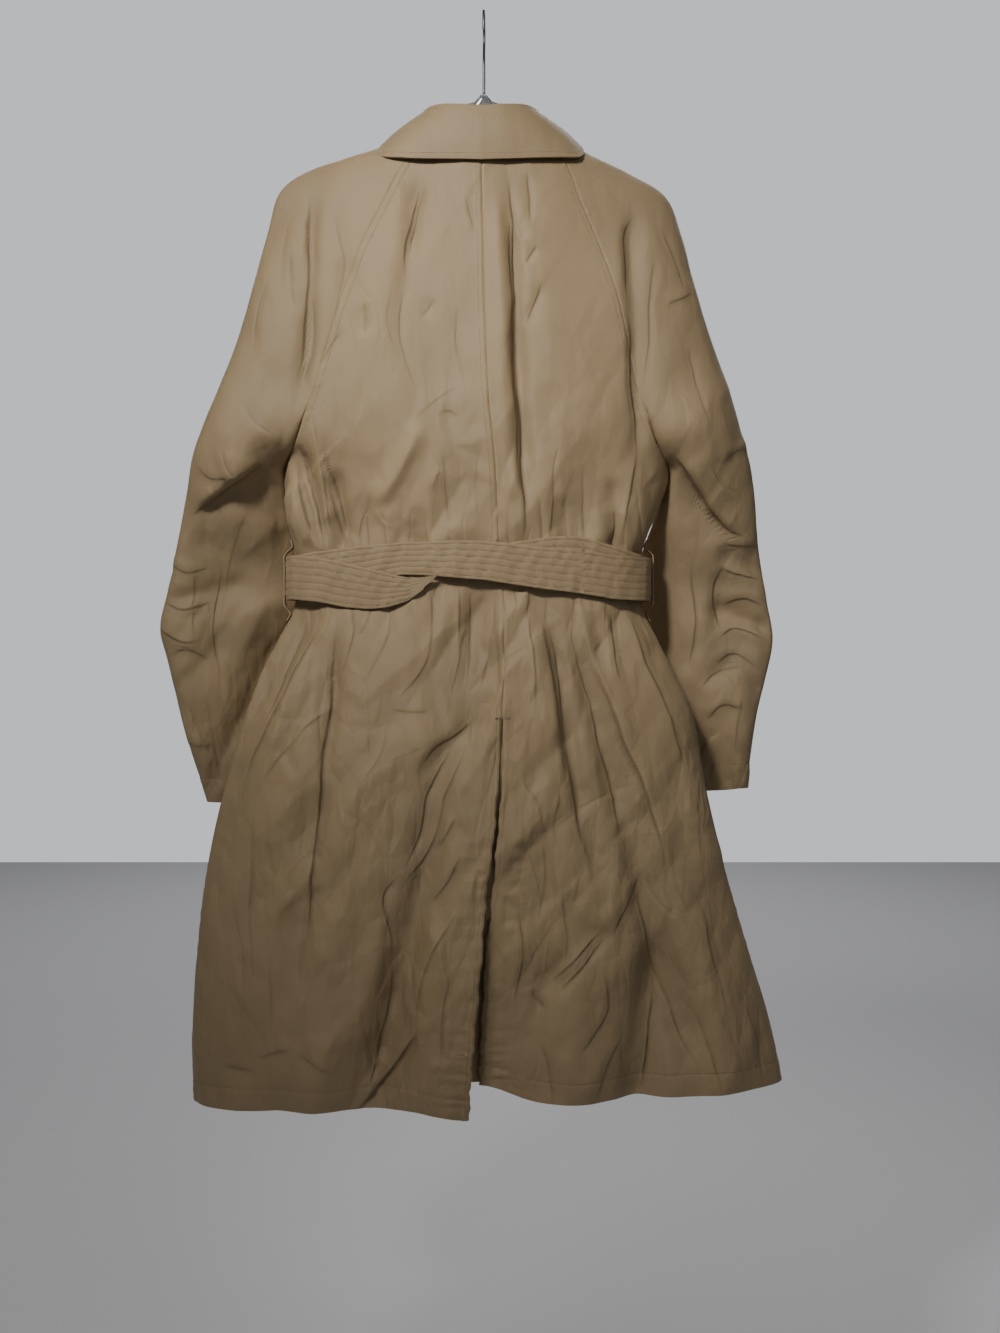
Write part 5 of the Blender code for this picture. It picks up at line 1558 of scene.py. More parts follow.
# The nodes that lay stitches: named inputs, nodes, and links from one's output to another's input
STITCH_INPUTS = {"Pitch": "NodeSocketFloat", "Stitch Length": "NodeSocketFloat",
                 "Thread Width": "NodeSocketFloat", "Seed": "NodeSocketInt"}
STITCH_NODES = {
    "given": "NodeGroupInput",
    "curve": "GeometryNodeMeshToCurve",
    "spaced": "GeometryNodeResampleCurve",
    "tangent": "GeometryNodeInputTangent",
    "aligned": "FunctionNodeAlignRotationToVector",
    "uneven": "FunctionNodeRandomValue",
    "long_side": "ShaderNodeMath",
    "size": "ShaderNodeCombineXYZ",
    "bead": "GeometryNodeMeshIcoSphere",
    "laid": "GeometryNodeInstanceOnPoints",
    "real": "GeometryNodeRealizeInstances",
    "soft": "GeometryNodeSetShadeSmooth",
    "dressed": "GeometryNodeSetMaterial",
    "out": "NodeGroupOutput",
}
STITCH_LINKS = [
    ("given", "Geometry", "curve", "Mesh"),
    ("curve", "Curve", "spaced", "Curve"),
    ("given", "Pitch", "spaced", "Length"),
    ("tangent", "Tangent", "aligned", "Vector"),
    ("given", "Seed", "uneven", "Seed"),
    ("given", "Stitch Length", "long_side", 0),
    ("uneven", 1, "long_side", 1),
    ("long_side", 0, "size", "X"),
    ("given", "Thread Width", "size", "Y"),
    ("given", "Thread Width", "size", "Z"),
    ("spaced", "Curve", "laid", "Points"),
    ("bead", "Mesh", "laid", "Instance"),
    ("aligned", "Rotation", "laid", "Rotation"),
    ("size", "Vector", "laid", "Scale"),
    ("laid", "Instances", "real", "Geometry"),
    ("real", "Geometry", "soft", "Geometry"),
    ("soft", "Geometry", "dressed", "Geometry"),
    ("dressed", "Geometry", "out", "Geometry"),
]


@dataclass
class StitchRun:
    """Rows of stitches along lines on the cloth, made by one tree of geometry nodes."""

    name: str
    pitch: float = 3.3
    length: float = 2.5
    width: float = 0.62
    seed: int = 5
    lines: list[np.ndarray] = field(default_factory=list)

    def add(self, *lines: np.ndarray) -> None:
        """Adds lines of points, in millimetres."""
        self.lines.extend(line for line in lines if len(line) > 1)

    def guide(self) -> bpy.types.Object:
        """The lines as one mesh of edges."""
        points, edges = [], []
        for line in self.lines:
            first = len(points)
            points.extend((line * MM).tolist())
            edges.extend((first + k, first + k + 1) for k in range(len(line) - 1))
        mesh = bpy.data.meshes.new(self.name)
        mesh.from_pydata(points, edges, [])
        return shown(self.name, mesh)

    def tree(self, finish: bpy.types.Material) -> tuple[bpy.types.NodeTree, dict[str, str]]:
        """The tree that lays stitches along edges.

        Args:
            finish: the thread's material.

        Returns:
            The tree, and the identifier of each of its named inputs.
        """
        tree = bpy.data.node_groups.new(self.name + "_nodes", "GeometryNodeTree")
        face = tree.interface
        face.new_socket("Geometry", in_out="INPUT", socket_type="NodeSocketGeometry")
        keys = {name: face.new_socket(name, in_out="INPUT", socket_type=kind).identifier
                for name, kind in STITCH_INPUTS.items()}
        face.new_socket("Geometry", in_out="OUTPUT", socket_type="NodeSocketGeometry")
        nodes = {key: tree.nodes.new(kind) for key, kind in STITCH_NODES.items()}
        nodes["spaced"].mode = "LENGTH"
        nodes["aligned"].axis = "X"
        nodes["long_side"].operation = "MULTIPLY"
        nodes["uneven"].inputs[2].default_value = 0.85
        nodes["uneven"].inputs[3].default_value = 1.15
        nodes["bead"].inputs["Radius"].default_value = 0.5
        nodes["bead"].inputs["Subdivisions"].default_value = 1
        nodes["dressed"].inputs["Material"].default_value = finish
        for source, output, target, socket in STITCH_LINKS:
            tree.links.new(nodes[source].outputs[output], nodes[target].inputs[socket])
        return tree, keys

    def build(self, finish: bpy.types.Material) -> bpy.types.Object:
        """Makes the stitches as one plain mesh.

        Args:
            finish: the thread's material.

        Returns:
            The stitches.
        """
        item = self.guide()
        tree, keys = self.tree(finish)
        laying = item.modifiers.new("stitches", "NODES")
        laying.node_group = tree
        laying[keys["Pitch"]] = self.pitch * MM
        laying[keys["Stitch Length"]] = self.length * MM
        laying[keys["Thread Width"]] = self.width * MM
        laying[keys["Seed"]] = self.seed
        graph = bpy.context.evaluated_depsgraph_get()
        made = bpy.data.meshes.new_from_object(item.evaluated_get(graph))
        item.modifiers.clear()
        item.data = made
        return item


def dress(item: bpy.types.Object, slot: str, nodes: Sequence[str],
          *finishes: bpy.types.Material) -> bpy.types.Object:
    """Gives a piece its finishes and fixes it to the coat's one body.

    Args:
        item: the piece.
        slot: the name of its slot; not used.
        nodes: the nodes that it stands for.
        finishes: its materials, in the order of its material slots.

    Returns:
        The piece.
    """
    for finish in finishes:
        item.data.materials.append(finish)
    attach(item, BODY_NAME)
    if nodes:
        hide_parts(*nodes)
    area = sum(face.area for face in item.data.polygons)
    log.info("%s: %d faces, %.4f square metres", item.name, len(item.data.polygons), area)
    return item


@dataclass
class Coat:
    """Body and sleeves: eight panels with their folds, seams and cut edges."""

    form: CoatForm
    book: CreaseBook
    rows_above: int = 118
    rows_body: int = 208
    rows_sleeve: int = 112
    steps: dict[str, int] = field(default_factory=lambda: {"back": 98, "front": 52, "sleeve": 40})
    edge_steps: tuple[float, ...] = (0, 0.8, 1.8, 3.0, 4.6, 6.6, 8.8)
    seam_depth: float = 0.8
    seam_width: float = 1.1
    allowance: float = 6.6
    allowance_height: float = 0.3
    hem_depth: float = 24.0
    cuff_depth: float = 30.0
    hem_height: float = 0.5
    hem_groove: float = 0.9
    row_inset: float = 1.2
    panels: dict[str, Panel] = field(default_factory=dict)

    def stations(self, last: int, below: int) -> np.ndarray:
        """The stations of a piece's rows."""
        above = np.linspace(0, UNDERARM, self.rows_above, endpoint=False)
        return np.concatenate([above, np.linspace(UNDERARM, last, below + 1)])

    def cut(self) -> None:
        """Makes the smooth panels."""
        body = self.stations(len(BODY_ROWS) - 1, self.rows_body)
        sleeve = self.stations(len(DRAPE_ROWS) - 1, self.rows_sleeve)
        for side in Side:
            for face in Face:
                name = f"{face.value}_{side.value}"
                for key, kind, stations, section in (
                        (name, face.value, body, self.form.body_section),
                        ("sleeve_" + name, "sleeve", sleeve, self.form.sleeve_section)):
                    grid = np.array([even_rows(section(side, face, station), self.steps[kind],
                                               self.edge_steps) for station in stations])
                    self.panels[key] = Panel(key, face, kind == "sleeve", grid)

    def share_normals(self, grids: dict[str, np.ndarray]) -> dict[str, np.ndarray]:
        """Unit normals of several grids, the same on both sides of every seam.

        From the underarm down, body and sleeves are parted, so each takes its own there.

        Args:
            grids: each panel's points, by its name.

        Returns:
            Each panel's normals, by its name.
        """
        keys, sums = [], []
        for name, grid in grids.items():
            zone = np.zeros(grid.shape[:2])
            zone[self.rows_above + 1:] = 1 if self.panels[name].sleeve else 2
            keys.append(np.column_stack([np.round(grid.reshape(-1, 3), 3), zone.reshape(-1)]) + 0.0)
            sums.append(cell_normals(grid, self.panels[name].face.sign).reshape(-1, 3))
        _, index = np.unique(np.concatenate(keys), axis=0, return_inverse=True)
        index = index.reshape(-1)
        total = np.zeros((index.max() + 1, 3))
        np.add.at(total, index, np.concatenate(sums))
        ends = np.cumsum([len(part) for part in sums])[:-1]
        return {name: part.reshape(grids[name].shape)
                for name, part in zip(grids, np.split(unit(total[index]), ends))}

    def fades(self, panel: Panel) -> tuple[np.ndarray, np.ndarray]:
        """Where creases die out: near the raglan seam, and near seams between back and front.

        Args:
            panel: the panel.

        Returns:
            A share for creases of one zone, and one for creases of one face.
        """
        across = panel.across()
        from_last = across[:, -1:] - across
        below = ease((np.arange(len(across)) - self.rows_above + 6) / 6)[:, None]
        if panel.sleeve:
            zone = ease(from_last / 14)
            side = ease(across / 16) * (1 - below * (1 - ease(from_last / 22)))
        else:
            zone = np.where(below > 0.99, 1.0, ease(from_last / 14))
            side = 1 - below * (1 - ease(from_last / 22))
        return zone, side

    def seam_relief(self, panel: Panel) -> np.ndarray:
        """Grooves along the seams, and the turned-in cloth beside them and up from the hem.

        Args:
            panel: the panel.

        Returns:
            The height of each point.
        """
        across, down = panel.across(), panel.down()
        from_last = across[:, -1:] - across
        up = down[-1:] - down
        relief = -self.seam_depth * (bell(across, 0, self.seam_width)
                                     + 0.6 * bell(from_last, 0, self.seam_width))
        turned, height = from_last, 0.0 if panel.sleeve else 0.5
        if panel.name == "back_left":
            turned, height = across, 1.0
        relief += height * self.allowance_height * ease((turned - 0.6) / 1.2) * (
            1 - ease((turned - self.allowance) / 1.6))
        hem = self.cuff_depth if panel.sleeve else self.hem_depth
        relief += self.hem_height * (1 - ease((up - hem) / 2.5))
        relief -= self.hem_groove * bell(up, hem - self.row_inset, 2.0)
        relief += self.pucker(up, hem - 4, 9, across, 0.3, 3)
        relief += self.pucker(from_last, 4, 7, down, 0.22, 4)
        if panel.face is Face.BACK and not panel.sleeve:
            relief += self.pucker(across, 4, 6, down, 0.12, 5)
            relief += self.vent_relief(panel, across)
        return relief

    def pucker(self, distance: np.ndarray, middle: float, width: float, along: np.ndarray,
               depth: float, seed: int) -> np.ndarray:
        """Short cross creases that a row of stitching draws up beside it.

        Args:
            distance: each point's distance from an edge.
            middle: the row's distance from that edge.
            width: how far the creases reach to both sides of it.
            along: each point's distance along the edge.
            depth: how deep they are.
            seed: what their uneven spacing is drawn from.

        Returns:
            The height of each point.
        """
        chance = np.random.default_rng(seed)
        lean = (distance - middle) * chance.uniform(-0.5, 0.5)
        wave = np.zeros_like(distance)
        for length in (5.5, 8.3, 12.7, 19.0):
            wave += chance.uniform(0.5, 1.0) * np.sin(
                2 * math.pi * (along + lean) / length + chance.uniform(0, 6))
        patch = 0.55 + 0.45 * np.sin(along / 31 + chance.uniform(0, 6))
        return depth * wave * patch * bell(distance, middle, width)

    def vent_relief(self, panel: Panel, across: np.ndarray) -> np.ndarray:
        """The turned edge beside the vent, its groove of stitching and the puckers there.

        Args:
            panel: a back panel.
            across: each point's distance from the slit.

        Returns:
            The height of each point.
        """
        down = panel.down()
        below = down - down[self.vent_row()][0]
        low = ease((below - 110) / 50)
        turned = 19.0 if panel.name == "back_left" else 27.0
        relief = 0.4 * (1 - ease((across - turned) / 2)) * ease(across / 2)
        relief -= 0.75 * bell(across, turned, 1.2)
        relief += low * self.pucker(across, turned - 4, 11, down, 0.62, 6)
        if panel.name == "back_left":
            relief -= 0.5 * low * bell(across, 9, 1.0)
            relief += low * self.pucker(across, 7, 7, down, 0.5, 8)
        return relief * ease((below - 8) / 14)

    def vent_row(self) -> int:
        """The row of a back panel where the vent starts."""
        return self.rows_above + int(self.rows_body * (VENT_START - UNDERARM) / 13)

    def fold(self) -> None:
        """Gives each panel its folds."""
        normals = self.share_normals({name: item.smooth_grid for name, item in self.panels.items()})
        for name, panel in self.panels.items():
            zone, side = self.fades(panel)
            height, panel.beside, panel.pull = self.book.height(
                panel.smooth_grid, panel.face, panel.sleeve, zone, side)
            if panel.face is Face.FRONT and not panel.sleeve:
                middle = self.form.body.at(
                    "centre", self.form.station_of_level(panel.smooth_grid[..., 2]))
                lap = np.abs(panel.smooth_grid[..., 0] - middle) - LAP - 8
                flat = 0.06 + 0.94 * ease(lap / LAP_EASE)
                height = height * flat
                panel.pull = panel.pull * flat
            # The fold height goes to the finish as relief, which paints shade in the troughs and
            # lightens the ridges as wear.
            panel.relief = height
            lift = height + self.seam_relief(panel)
            panel.grid = panel.smooth_grid + normals[name] * lift[..., None]
        found = self.share_normals({name: item.grid for name, item in self.panels.items()})
        for name, panel in self.panels.items():
            panel.normals = found[name]
            for row, share in ((self.rows_above, 1.0), (self.rows_above + 1, 0.6),
                               (self.rows_above + 2, 0.3)):
                panel.grid[row, -3:] -= share * UNDERARM_INSET * panel.normals[row, -3:]

    def build(self, finishes: Finishes) -> None:
        """Makes the eight panels as pieces.

        Args:
            finishes: the finishes.
        """
        self.cut()
        self.fold()
        for name, panel in self.panels.items():
            uv = np.stack([panel.across(), panel.down()], axis=-1) * MM
            item = cloth_object(name + "_cloth", panel.grid, panel.grid - WALL * panel.normals,
                                panel.relief, uv, (panel.beside, panel.pull))
            dress(item, "coat_cloth", [name], finishes.gabardine, finishes.lining)

    def stitch(self, run: StitchRun) -> None:
        """Adds the topstitching of seams, edges, hem and cuffs.

        Args:
            run: the stitches that they join.
        """
        panels = self.panels
        vent_row = self.vent_row()
        run.add(panels["back_left"].edge_line(self.allowance, rows=slice(0, vent_row)))
        for side in Side:
            for face in Face:
                panel = panels[f"{face.value}_{side.value}"]
                run.add(panel.edge_line(self.allowance, True, slice(0, self.rows_above)))
                run.add(panel.level_line(self.hem_depth - self.row_inset))
                run.add(panels[f"sleeve_{panel.name}"].level_line(self.cuff_depth - self.row_inset))
        run.add(panels["front_left"].edge_line(7), panels["front_right"].edge_line(7))
        for name in ("back_left", "back_right"):
            run.add(panels[name].edge_line(5, rows=slice(vent_row, None)))
        self.bar_tack(run, vent_row)

    def bar_tack(self, run: StitchRun, row: int) -> None:
        """Adds the close rows of thread that hold the top of the vent.

        Args:
            run: the stitches that they join.
            row: the row of the back panels where the vent starts.
        """
        left, right = (
            (panel.grid + 0.3 * panel.normals)[row][panel.across()[row] < reach]
            for panel, reach in ((self.panels["back_left"], 7.5), (self.panels["back_right"], 8.5)))
        for drop in np.linspace(0, 1.8, 5):
            run.add(np.concatenate([left[::-1], right]) - (0, 0, drop))


@dataclass
class Vent:
    """The strip behind the slit and the small tab across it."""

    coat: Coat
    width: float = 64
    bottom: float = 20.4
    ease_in: float = 0.7
    slope: float = 1.25
    gap: float = 0.35
    tab_station: float = 17.2
    tab_size: tuple[float, float, float] = (26, 22, 1.0)
    tab_rows: tuple[int, ...] = (2, 7, 11)
    tab_thread_lift: float = 0.15

    def behind(self, x: np.ndarray, z: float, station: float, inward: float) -> np.ndarray:
        """Points an inward distance behind the back at a station, folds and all.

        Args:
            x: the points' X.
            z: their level.
            station: the body's station there.
            inward: how far they lie behind the back's outer face.

        Returns:
            The points.
        """
        form = self.coat.form
        z = np.full(len(x), z)
        centre = form.body.at("centre", station)
        across = np.abs(x - centre) / (form.body.at("right", station) - centre)
        main = self.coat.book.creases[:len(MAIN_FOLDS[Face.BACK])]
        lift = sum(crease.measure(x, z)[0] for crease in main if crease.zone is Zone.BODY)
        y = form.round_depth(across, station, Face.BACK)
        return np.stack([x, y + inward - lift, z], axis=1)

    def piece(self, node: str, outer: np.ndarray, thick: float, finishes: Finishes,
              ) -> bpy.types.Object:
        """One of the two pieces, from the points of the face that shows."""
        item = cloth_object(node + "_cloth", outer, outer + (0, thick, 0))
        return dress(item, "coat_cloth", [node], finishes.gabardine, finishes.lining)

    def build(self, finishes: Finishes, run: StitchRun) -> None:
        """Makes both pieces.

        Args:
            finishes: the finishes.
            run: the stitches that the tab's join.
        """
        body, lips = self.coat.form.body, self.coat.form.vent
        rows = []
        for station in np.linspace(VENT_START - 0.3, self.bottom, 90):
            middle = body.at("centre", max(station, VENT_START))
            lip = max(0.0, float(lips.at("right_lip", max(station - VENT_START, 0))))
            x = np.linspace(middle - self.width / 2, middle + self.width / 2, 20)
            rows.append(self.behind(x, body.at("z", station), station,
                                    WALL + self.gap + self.ease_in + self.slope * lip))
        item = self.piece("vent_underlap", np.array(rows), WALL, finishes)
        width, height, thick = self.tab_size
        middle = body.at("centre", self.tab_station)
        x = np.linspace(middle - width / 2, middle + width / 2, 18)
        rows = []
        for level in body.at("z", self.tab_station) + np.linspace(height / 2, -height / 2, 14):
            station = float(self.coat.form.station_of_level(level))
            lip = float(lips.at("right_lip", station - VENT_START))
            rows.append(self.behind(x, level, station, WALL + self.gap + lip))
        item = self.piece("vent_tab", np.array(rows), thick, finishes)
        for row in self.tab_rows:
            run.add(rows[row] - (0, self.tab_thread_lift, 0))


COLLAR_COLUMNS = "fold_x fold_y fold_z edge_x edge_y edge_z"
COLLAR_ROWS = [
    (0, -47, -117, 0, -54, -177),
    (24, -45, -115, 42, -51, -174.5),
    (44, -35, -111.5, 80, -44.5, -171.5),
    (56, -17, -108.5, 107, -31.5, -165.5),
    (61, 2, -107, 112, 2, -147),
    (57, 22, -108.5, 107, 34, -155),
    (46, 38, -114, 92, 55, -185),
    (27, 49, -131, 74, 66, -218),
    (4, 54, -164, 56, 68, -244),
]


@dataclass
class Collar:
    """The stand inside the neck and the fall turned down over it."""

    coat: Coat
    centre: float = -3
    wall: float = 2.0
    roll: float = 3.6
    bow: float = 3.0
    row_inset: float = 6.0
    steps: int = 96
    fall_rows: int = 26

    def neck_edge(self, side: Side) -> tuple[np.ndarray, np.ndarray]:
        """The shell's upper edge on one side of the neck, as angles and points.

        Args:
            side: the side.

        Returns:
            The angles, and the points at them.
        """
        names = [f"back_{side.value}", f"sleeve_back_{side.value}", f"sleeve_front_{side.value}",
                 f"front_{side.value}"]
        points = np.concatenate([self.coat.panels[name].grid[0] for name in names])
        beside = side.sign * (points[:, 0] - self.centre)
        points, beside = points[beside >= 0], beside[beside >= 0]
        angle = np.degrees(np.arctan2(beside, -points[:, 1]))
        order = np.argsort(angle)
        return angle[order], points[order]

    def ring(self, angles: np.ndarray) -> dict[str, np.ndarray]:
        """Neck, fold and edge points round the neck, and the way out from it at each angle.

        Args:
            angles: degrees from the middle of the back, below 0 on the left.

        Returns:
            The points and ways, by their names.
        """
        table = Table(COLLAR_COLUMNS, COLLAR_ROWS)
        station = np.abs(angles) / 22.5
        sign = np.where(angles < 0, -1, 1)
        found = {}
        for part in ("fold", "edge"):
            x, y, z = (table.at(f"{part}_{axis}", station) for axis in "xyz")
            found[part] = np.stack([self.centre + sign * x, y, z], axis=1)
        found["neck"] = np.zeros((len(angles), 3))
        for side, chosen in ((Side.LEFT, angles < 0), (Side.RIGHT, angles >= 0)):
            found["neck"][chosen] = points_at(np.abs(angles[chosen]), *self.neck_edge(side))
        way = np.gradient(found["fold"][:, :2], axis=0)
        found["out"] = unit(np.stack([way[:, 1], -way[:, 0], np.zeros(len(angles))], axis=1))
        return found

    def build(self, finishes: Finishes, run: StitchRun) -> None:
        """Makes stand and fall.

        Args:
            finishes: the finishes.
            run: the stitches that the fall's join.
        """
        angles = np.linspace(-180, 180, 2 * self.steps + 1)
        ring = self.ring(angles)
        up = np.array([0, 0, 1.0])
        out = ring["out"]
        middle = ring["fold"] - self.roll * up
        top = middle - self.roll * out - 0.8 * up
        lift = 0.8 + 3.6 * ease((np.abs(angles) - 105) / 40)
        bottom = ring["neck"] + lift[:, None] * up - 1.7 * out
        part = np.linspace(0, 1, 10)[:, None, None]
        stand = bottom * (1 - part) + top * part
        item = cloth_object("collar_stand_cloth", stand + self.wall * out, stand)
        self.finish(item, finishes, "collar_stand", (0.42, 0.028, 0.0068))
        outer, ways = [], []
        for turn in np.linspace(180, 10, 12):
            way = math.cos(math.radians(turn)) * out + math.sin(math.radians(turn)) * up
            outer.append(middle + self.roll * way)
            ways.append(way)
        start = outer[-1]
        slope = ring["edge"] - start
        flat = unit(out - slope * (np.sum(out * slope, axis=1) / np.sum(slope**2, axis=1))[:, None])
        for step in np.linspace(0, 1, self.fall_rows + 1)[1:]:
            outer.append(start + slope * step + self.bow * 4 * step * (1 - step) * flat)
            ways.append(flat)
        grid, ways = np.array(outer), np.array(ways)
        relief = self.relief(grid, angles)
        grid = grid + relief[..., None] * ways
        # The fall's relief goes to the finish, which paints shade in its hollows and lightens its
        # raised parts as wear.
        item = cloth_object("collar_fall_cloth", grid, grid - self.wall * ways, relief)
        self.finish(item, finishes, "collar_fall", (0.80, 0.085, 0.040))
        run.add(edge_path(grid, ways, self.row_inset))

    def relief(self, grid: np.ndarray, angles: np.ndarray) -> np.ndarray:
        """The collar's slight waves, its turned-in edge and the line of its topstitching.

        Args:
            grid: the fall's outer face.
            angles: the angle of each column.

        Returns:
            The height of each point.
        """
        down = grid_distance(grid, 0)
        up = down[-1:] - down
        turn = np.radians(angles)
        wave = np.sin(turn * 3.1 + 0.6) + 0.6 * np.sin(turn * 7.3 + 2)
        turned = 0.35 * (1 - ease((up - 6.6) / 1.4))
        return 0.8 * wave * (down / down[-1:]) ** 2 + turned - 0.4 * bell(up, self.row_inset, 1.0)

    def finish(self, item: bpy.types.Object, finishes: Finishes, node: str,
               cut: tuple[float, float, float]) -> None:
        """Gives a collar piece its finish and its body."""
        dress(item, "collar_cloth", [node], finishes.gabardine, finishes.gabardine)


def edge_path(grid: np.ndarray, ways: np.ndarray, offset: float) -> np.ndarray:
    """A line a distance in from a sheet's last row and, at both ends, from its side edges.

    Args:
        grid: the sheet's outer face.
        ways: the way out at each point.
        offset: the distance.

    Returns:
        The line's points, a hair above the cloth.
    """
    surface = grid + THREAD_LIFT * ways
    up = grid_distance(grid, 0)
    up = up[-1:] - up
    across = grid_distance(grid, 1)
    columns = [k for k in range(grid.shape[1])
               if offset < across[-1, k] < across[-1, -1] - offset]
    rows = [k for k in range(9, grid.shape[0]) if up[k, 0] > offset]
    level = [points_at(-offset, -up[:, k], surface[:, k]) for k in columns]
    first = [points_at(offset, across[k], surface[k]) for k in rows]
    last = [points_at(across[k, -1] - offset, across[k], surface[k]) for k in rows[::-1]]
    return np.array(first + level + last)


BELT_FIRST_PASS = [
    (168, -616, 23.5, 0), (137, -607, 23.5, 0), (105, -597, 23, 0), (74, -596, 22, 0),
    (30, -600, 19, 0), (-10, -602, 14, 0), (-30, -606, 8, 0), (-41, -611.5, 1.8, 0.1),
    (-46, -613.8, 0.9, 0.5), (-51, -616.8, 1.2, 1), (-63, -623.8, 6.2, 1), (-77, -630, 11.6, 1),
    (-98, -631.5, 17.3, 1), (-120, -629.7, 21.3, 1), (-146, -625.3, 23.5, 1),
    (-172, -619.5, 23.5, 1), (-200, -616, 23.5, 1),
]
BELT_SECOND_PASS = [
    (168, -618, 23.2, 1), (137, -617, 23.2, 1), (105, -612, 23, 1), (53, -607, 21.5, 1),
    (2, -600, 20.5, 1), (-30, -598.5, 19.5, 1), (-43.5, -598, 18.6, 0.9), (-49, -598, 18.5, 0.5),
    (-54.5, -598, 18, 0.1), (-63, -597.5, 17.5, 0), (-88, -597.5, 17, 0), (-148, -606.8, 21, 0),
    (-200, -615, 23.2, 0),
]


def even_loop(loop: np.ndarray, count: int) -> np.ndarray:
    """A closed curve's points, an even distance apart."""
    wrapped = np.concatenate([loop, loop[:1]])
    along = run_length(wrapped)
    return points_at(np.linspace(0, along[-1], count, endpoint=False), along, wrapped)


@dataclass
class WaistCurve:
    """The waist's loop, measured along its length from the right keeper, across the back first."""

    form: CoatForm
    stations: tuple[float, float] = (9.75, 11.25)
    points: np.ndarray = field(init=False)
    along: np.ndarray = field(init=False)
    out: np.ndarray = field(init=False)
    length: float = field(init=False)
    left: float = field(init=False)

    def __post_init__(self) -> None:
        """Works out the loop."""
        loops = np.array([self.section(station) for station in np.linspace(*self.stations, 7)])
        reach = np.linalg.norm((loops - loops.mean(axis=(0, 1))) * (1, 3.4), axis=2)
        loop = loops[np.argmax(reach, axis=0), np.arange(loops.shape[1])]
        ring = even_loop(loop, 600)
        step = np.linalg.norm(np.roll(ring, -1, axis=0) - ring, axis=1)
        tangent = np.roll(ring, -1, axis=0) - np.roll(ring, 1, axis=0)
        self.points = ring
        self.length = float(step.sum())
        self.along = np.concatenate([[0], np.cumsum(step)])[:-1]
        self.out = unit(np.stack([-tangent[:, 1], tangent[:, 0]], axis=1))
        self.left = float(self.along[np.argmin(ring[:, 0])])

    def section(self, station: float) -> np.ndarray:
        """The body's section: back from right to left, then front from left to right.

        Args:
            station: a level of the body.

        Returns:
            The points' X and Y.
        """
        body = self.form.body
        turns = np.linspace(0, 2 * math.pi, 360, endpoint=False)
        cos, sin = np.cos(turns), np.sin(turns)
        centre, side_y = body.at("centre", station), body.at("side_y", station)
        half = np.where(cos > 0, body.at("right", station) - centre,
                        centre - body.at("left", station))
        depth = np.where(sin > 0, side_y - body.at("back_y", station),
                         body.at("front_y", station) + LAP_LIFT - side_y)
        power = 2 / SECTION_POWER
        return np.stack([centre + half * np.sign(cos) * np.abs(cos) ** power,
                         side_y - depth * np.sign(sin) * np.abs(sin) ** power], axis=1)

    def at(self, distance: np.ndarray, offset: np.ndarray) -> np.ndarray:
        """Points at distances round the loop, each moved out by its own offset.

        Args:
            distance: the distances.
            offset: how far out each point lies.

        Returns:
            The points' X and Y.
        """
        distance = np.mod(distance, self.length)
        where = np.append(self.along, self.length)
        place, way = (points_at(distance, where, np.concatenate([part, part[:1]]))
                      for part in (self.points, self.out))
        return place + offset[..., None] * way

    def of_x(self, x: float) -> float:
        """The distance at which the back half of the loop passes an x."""
        back = self.along <= self.left
        return float(np.interp(-x, -self.points[back, 0], self.along[back]))


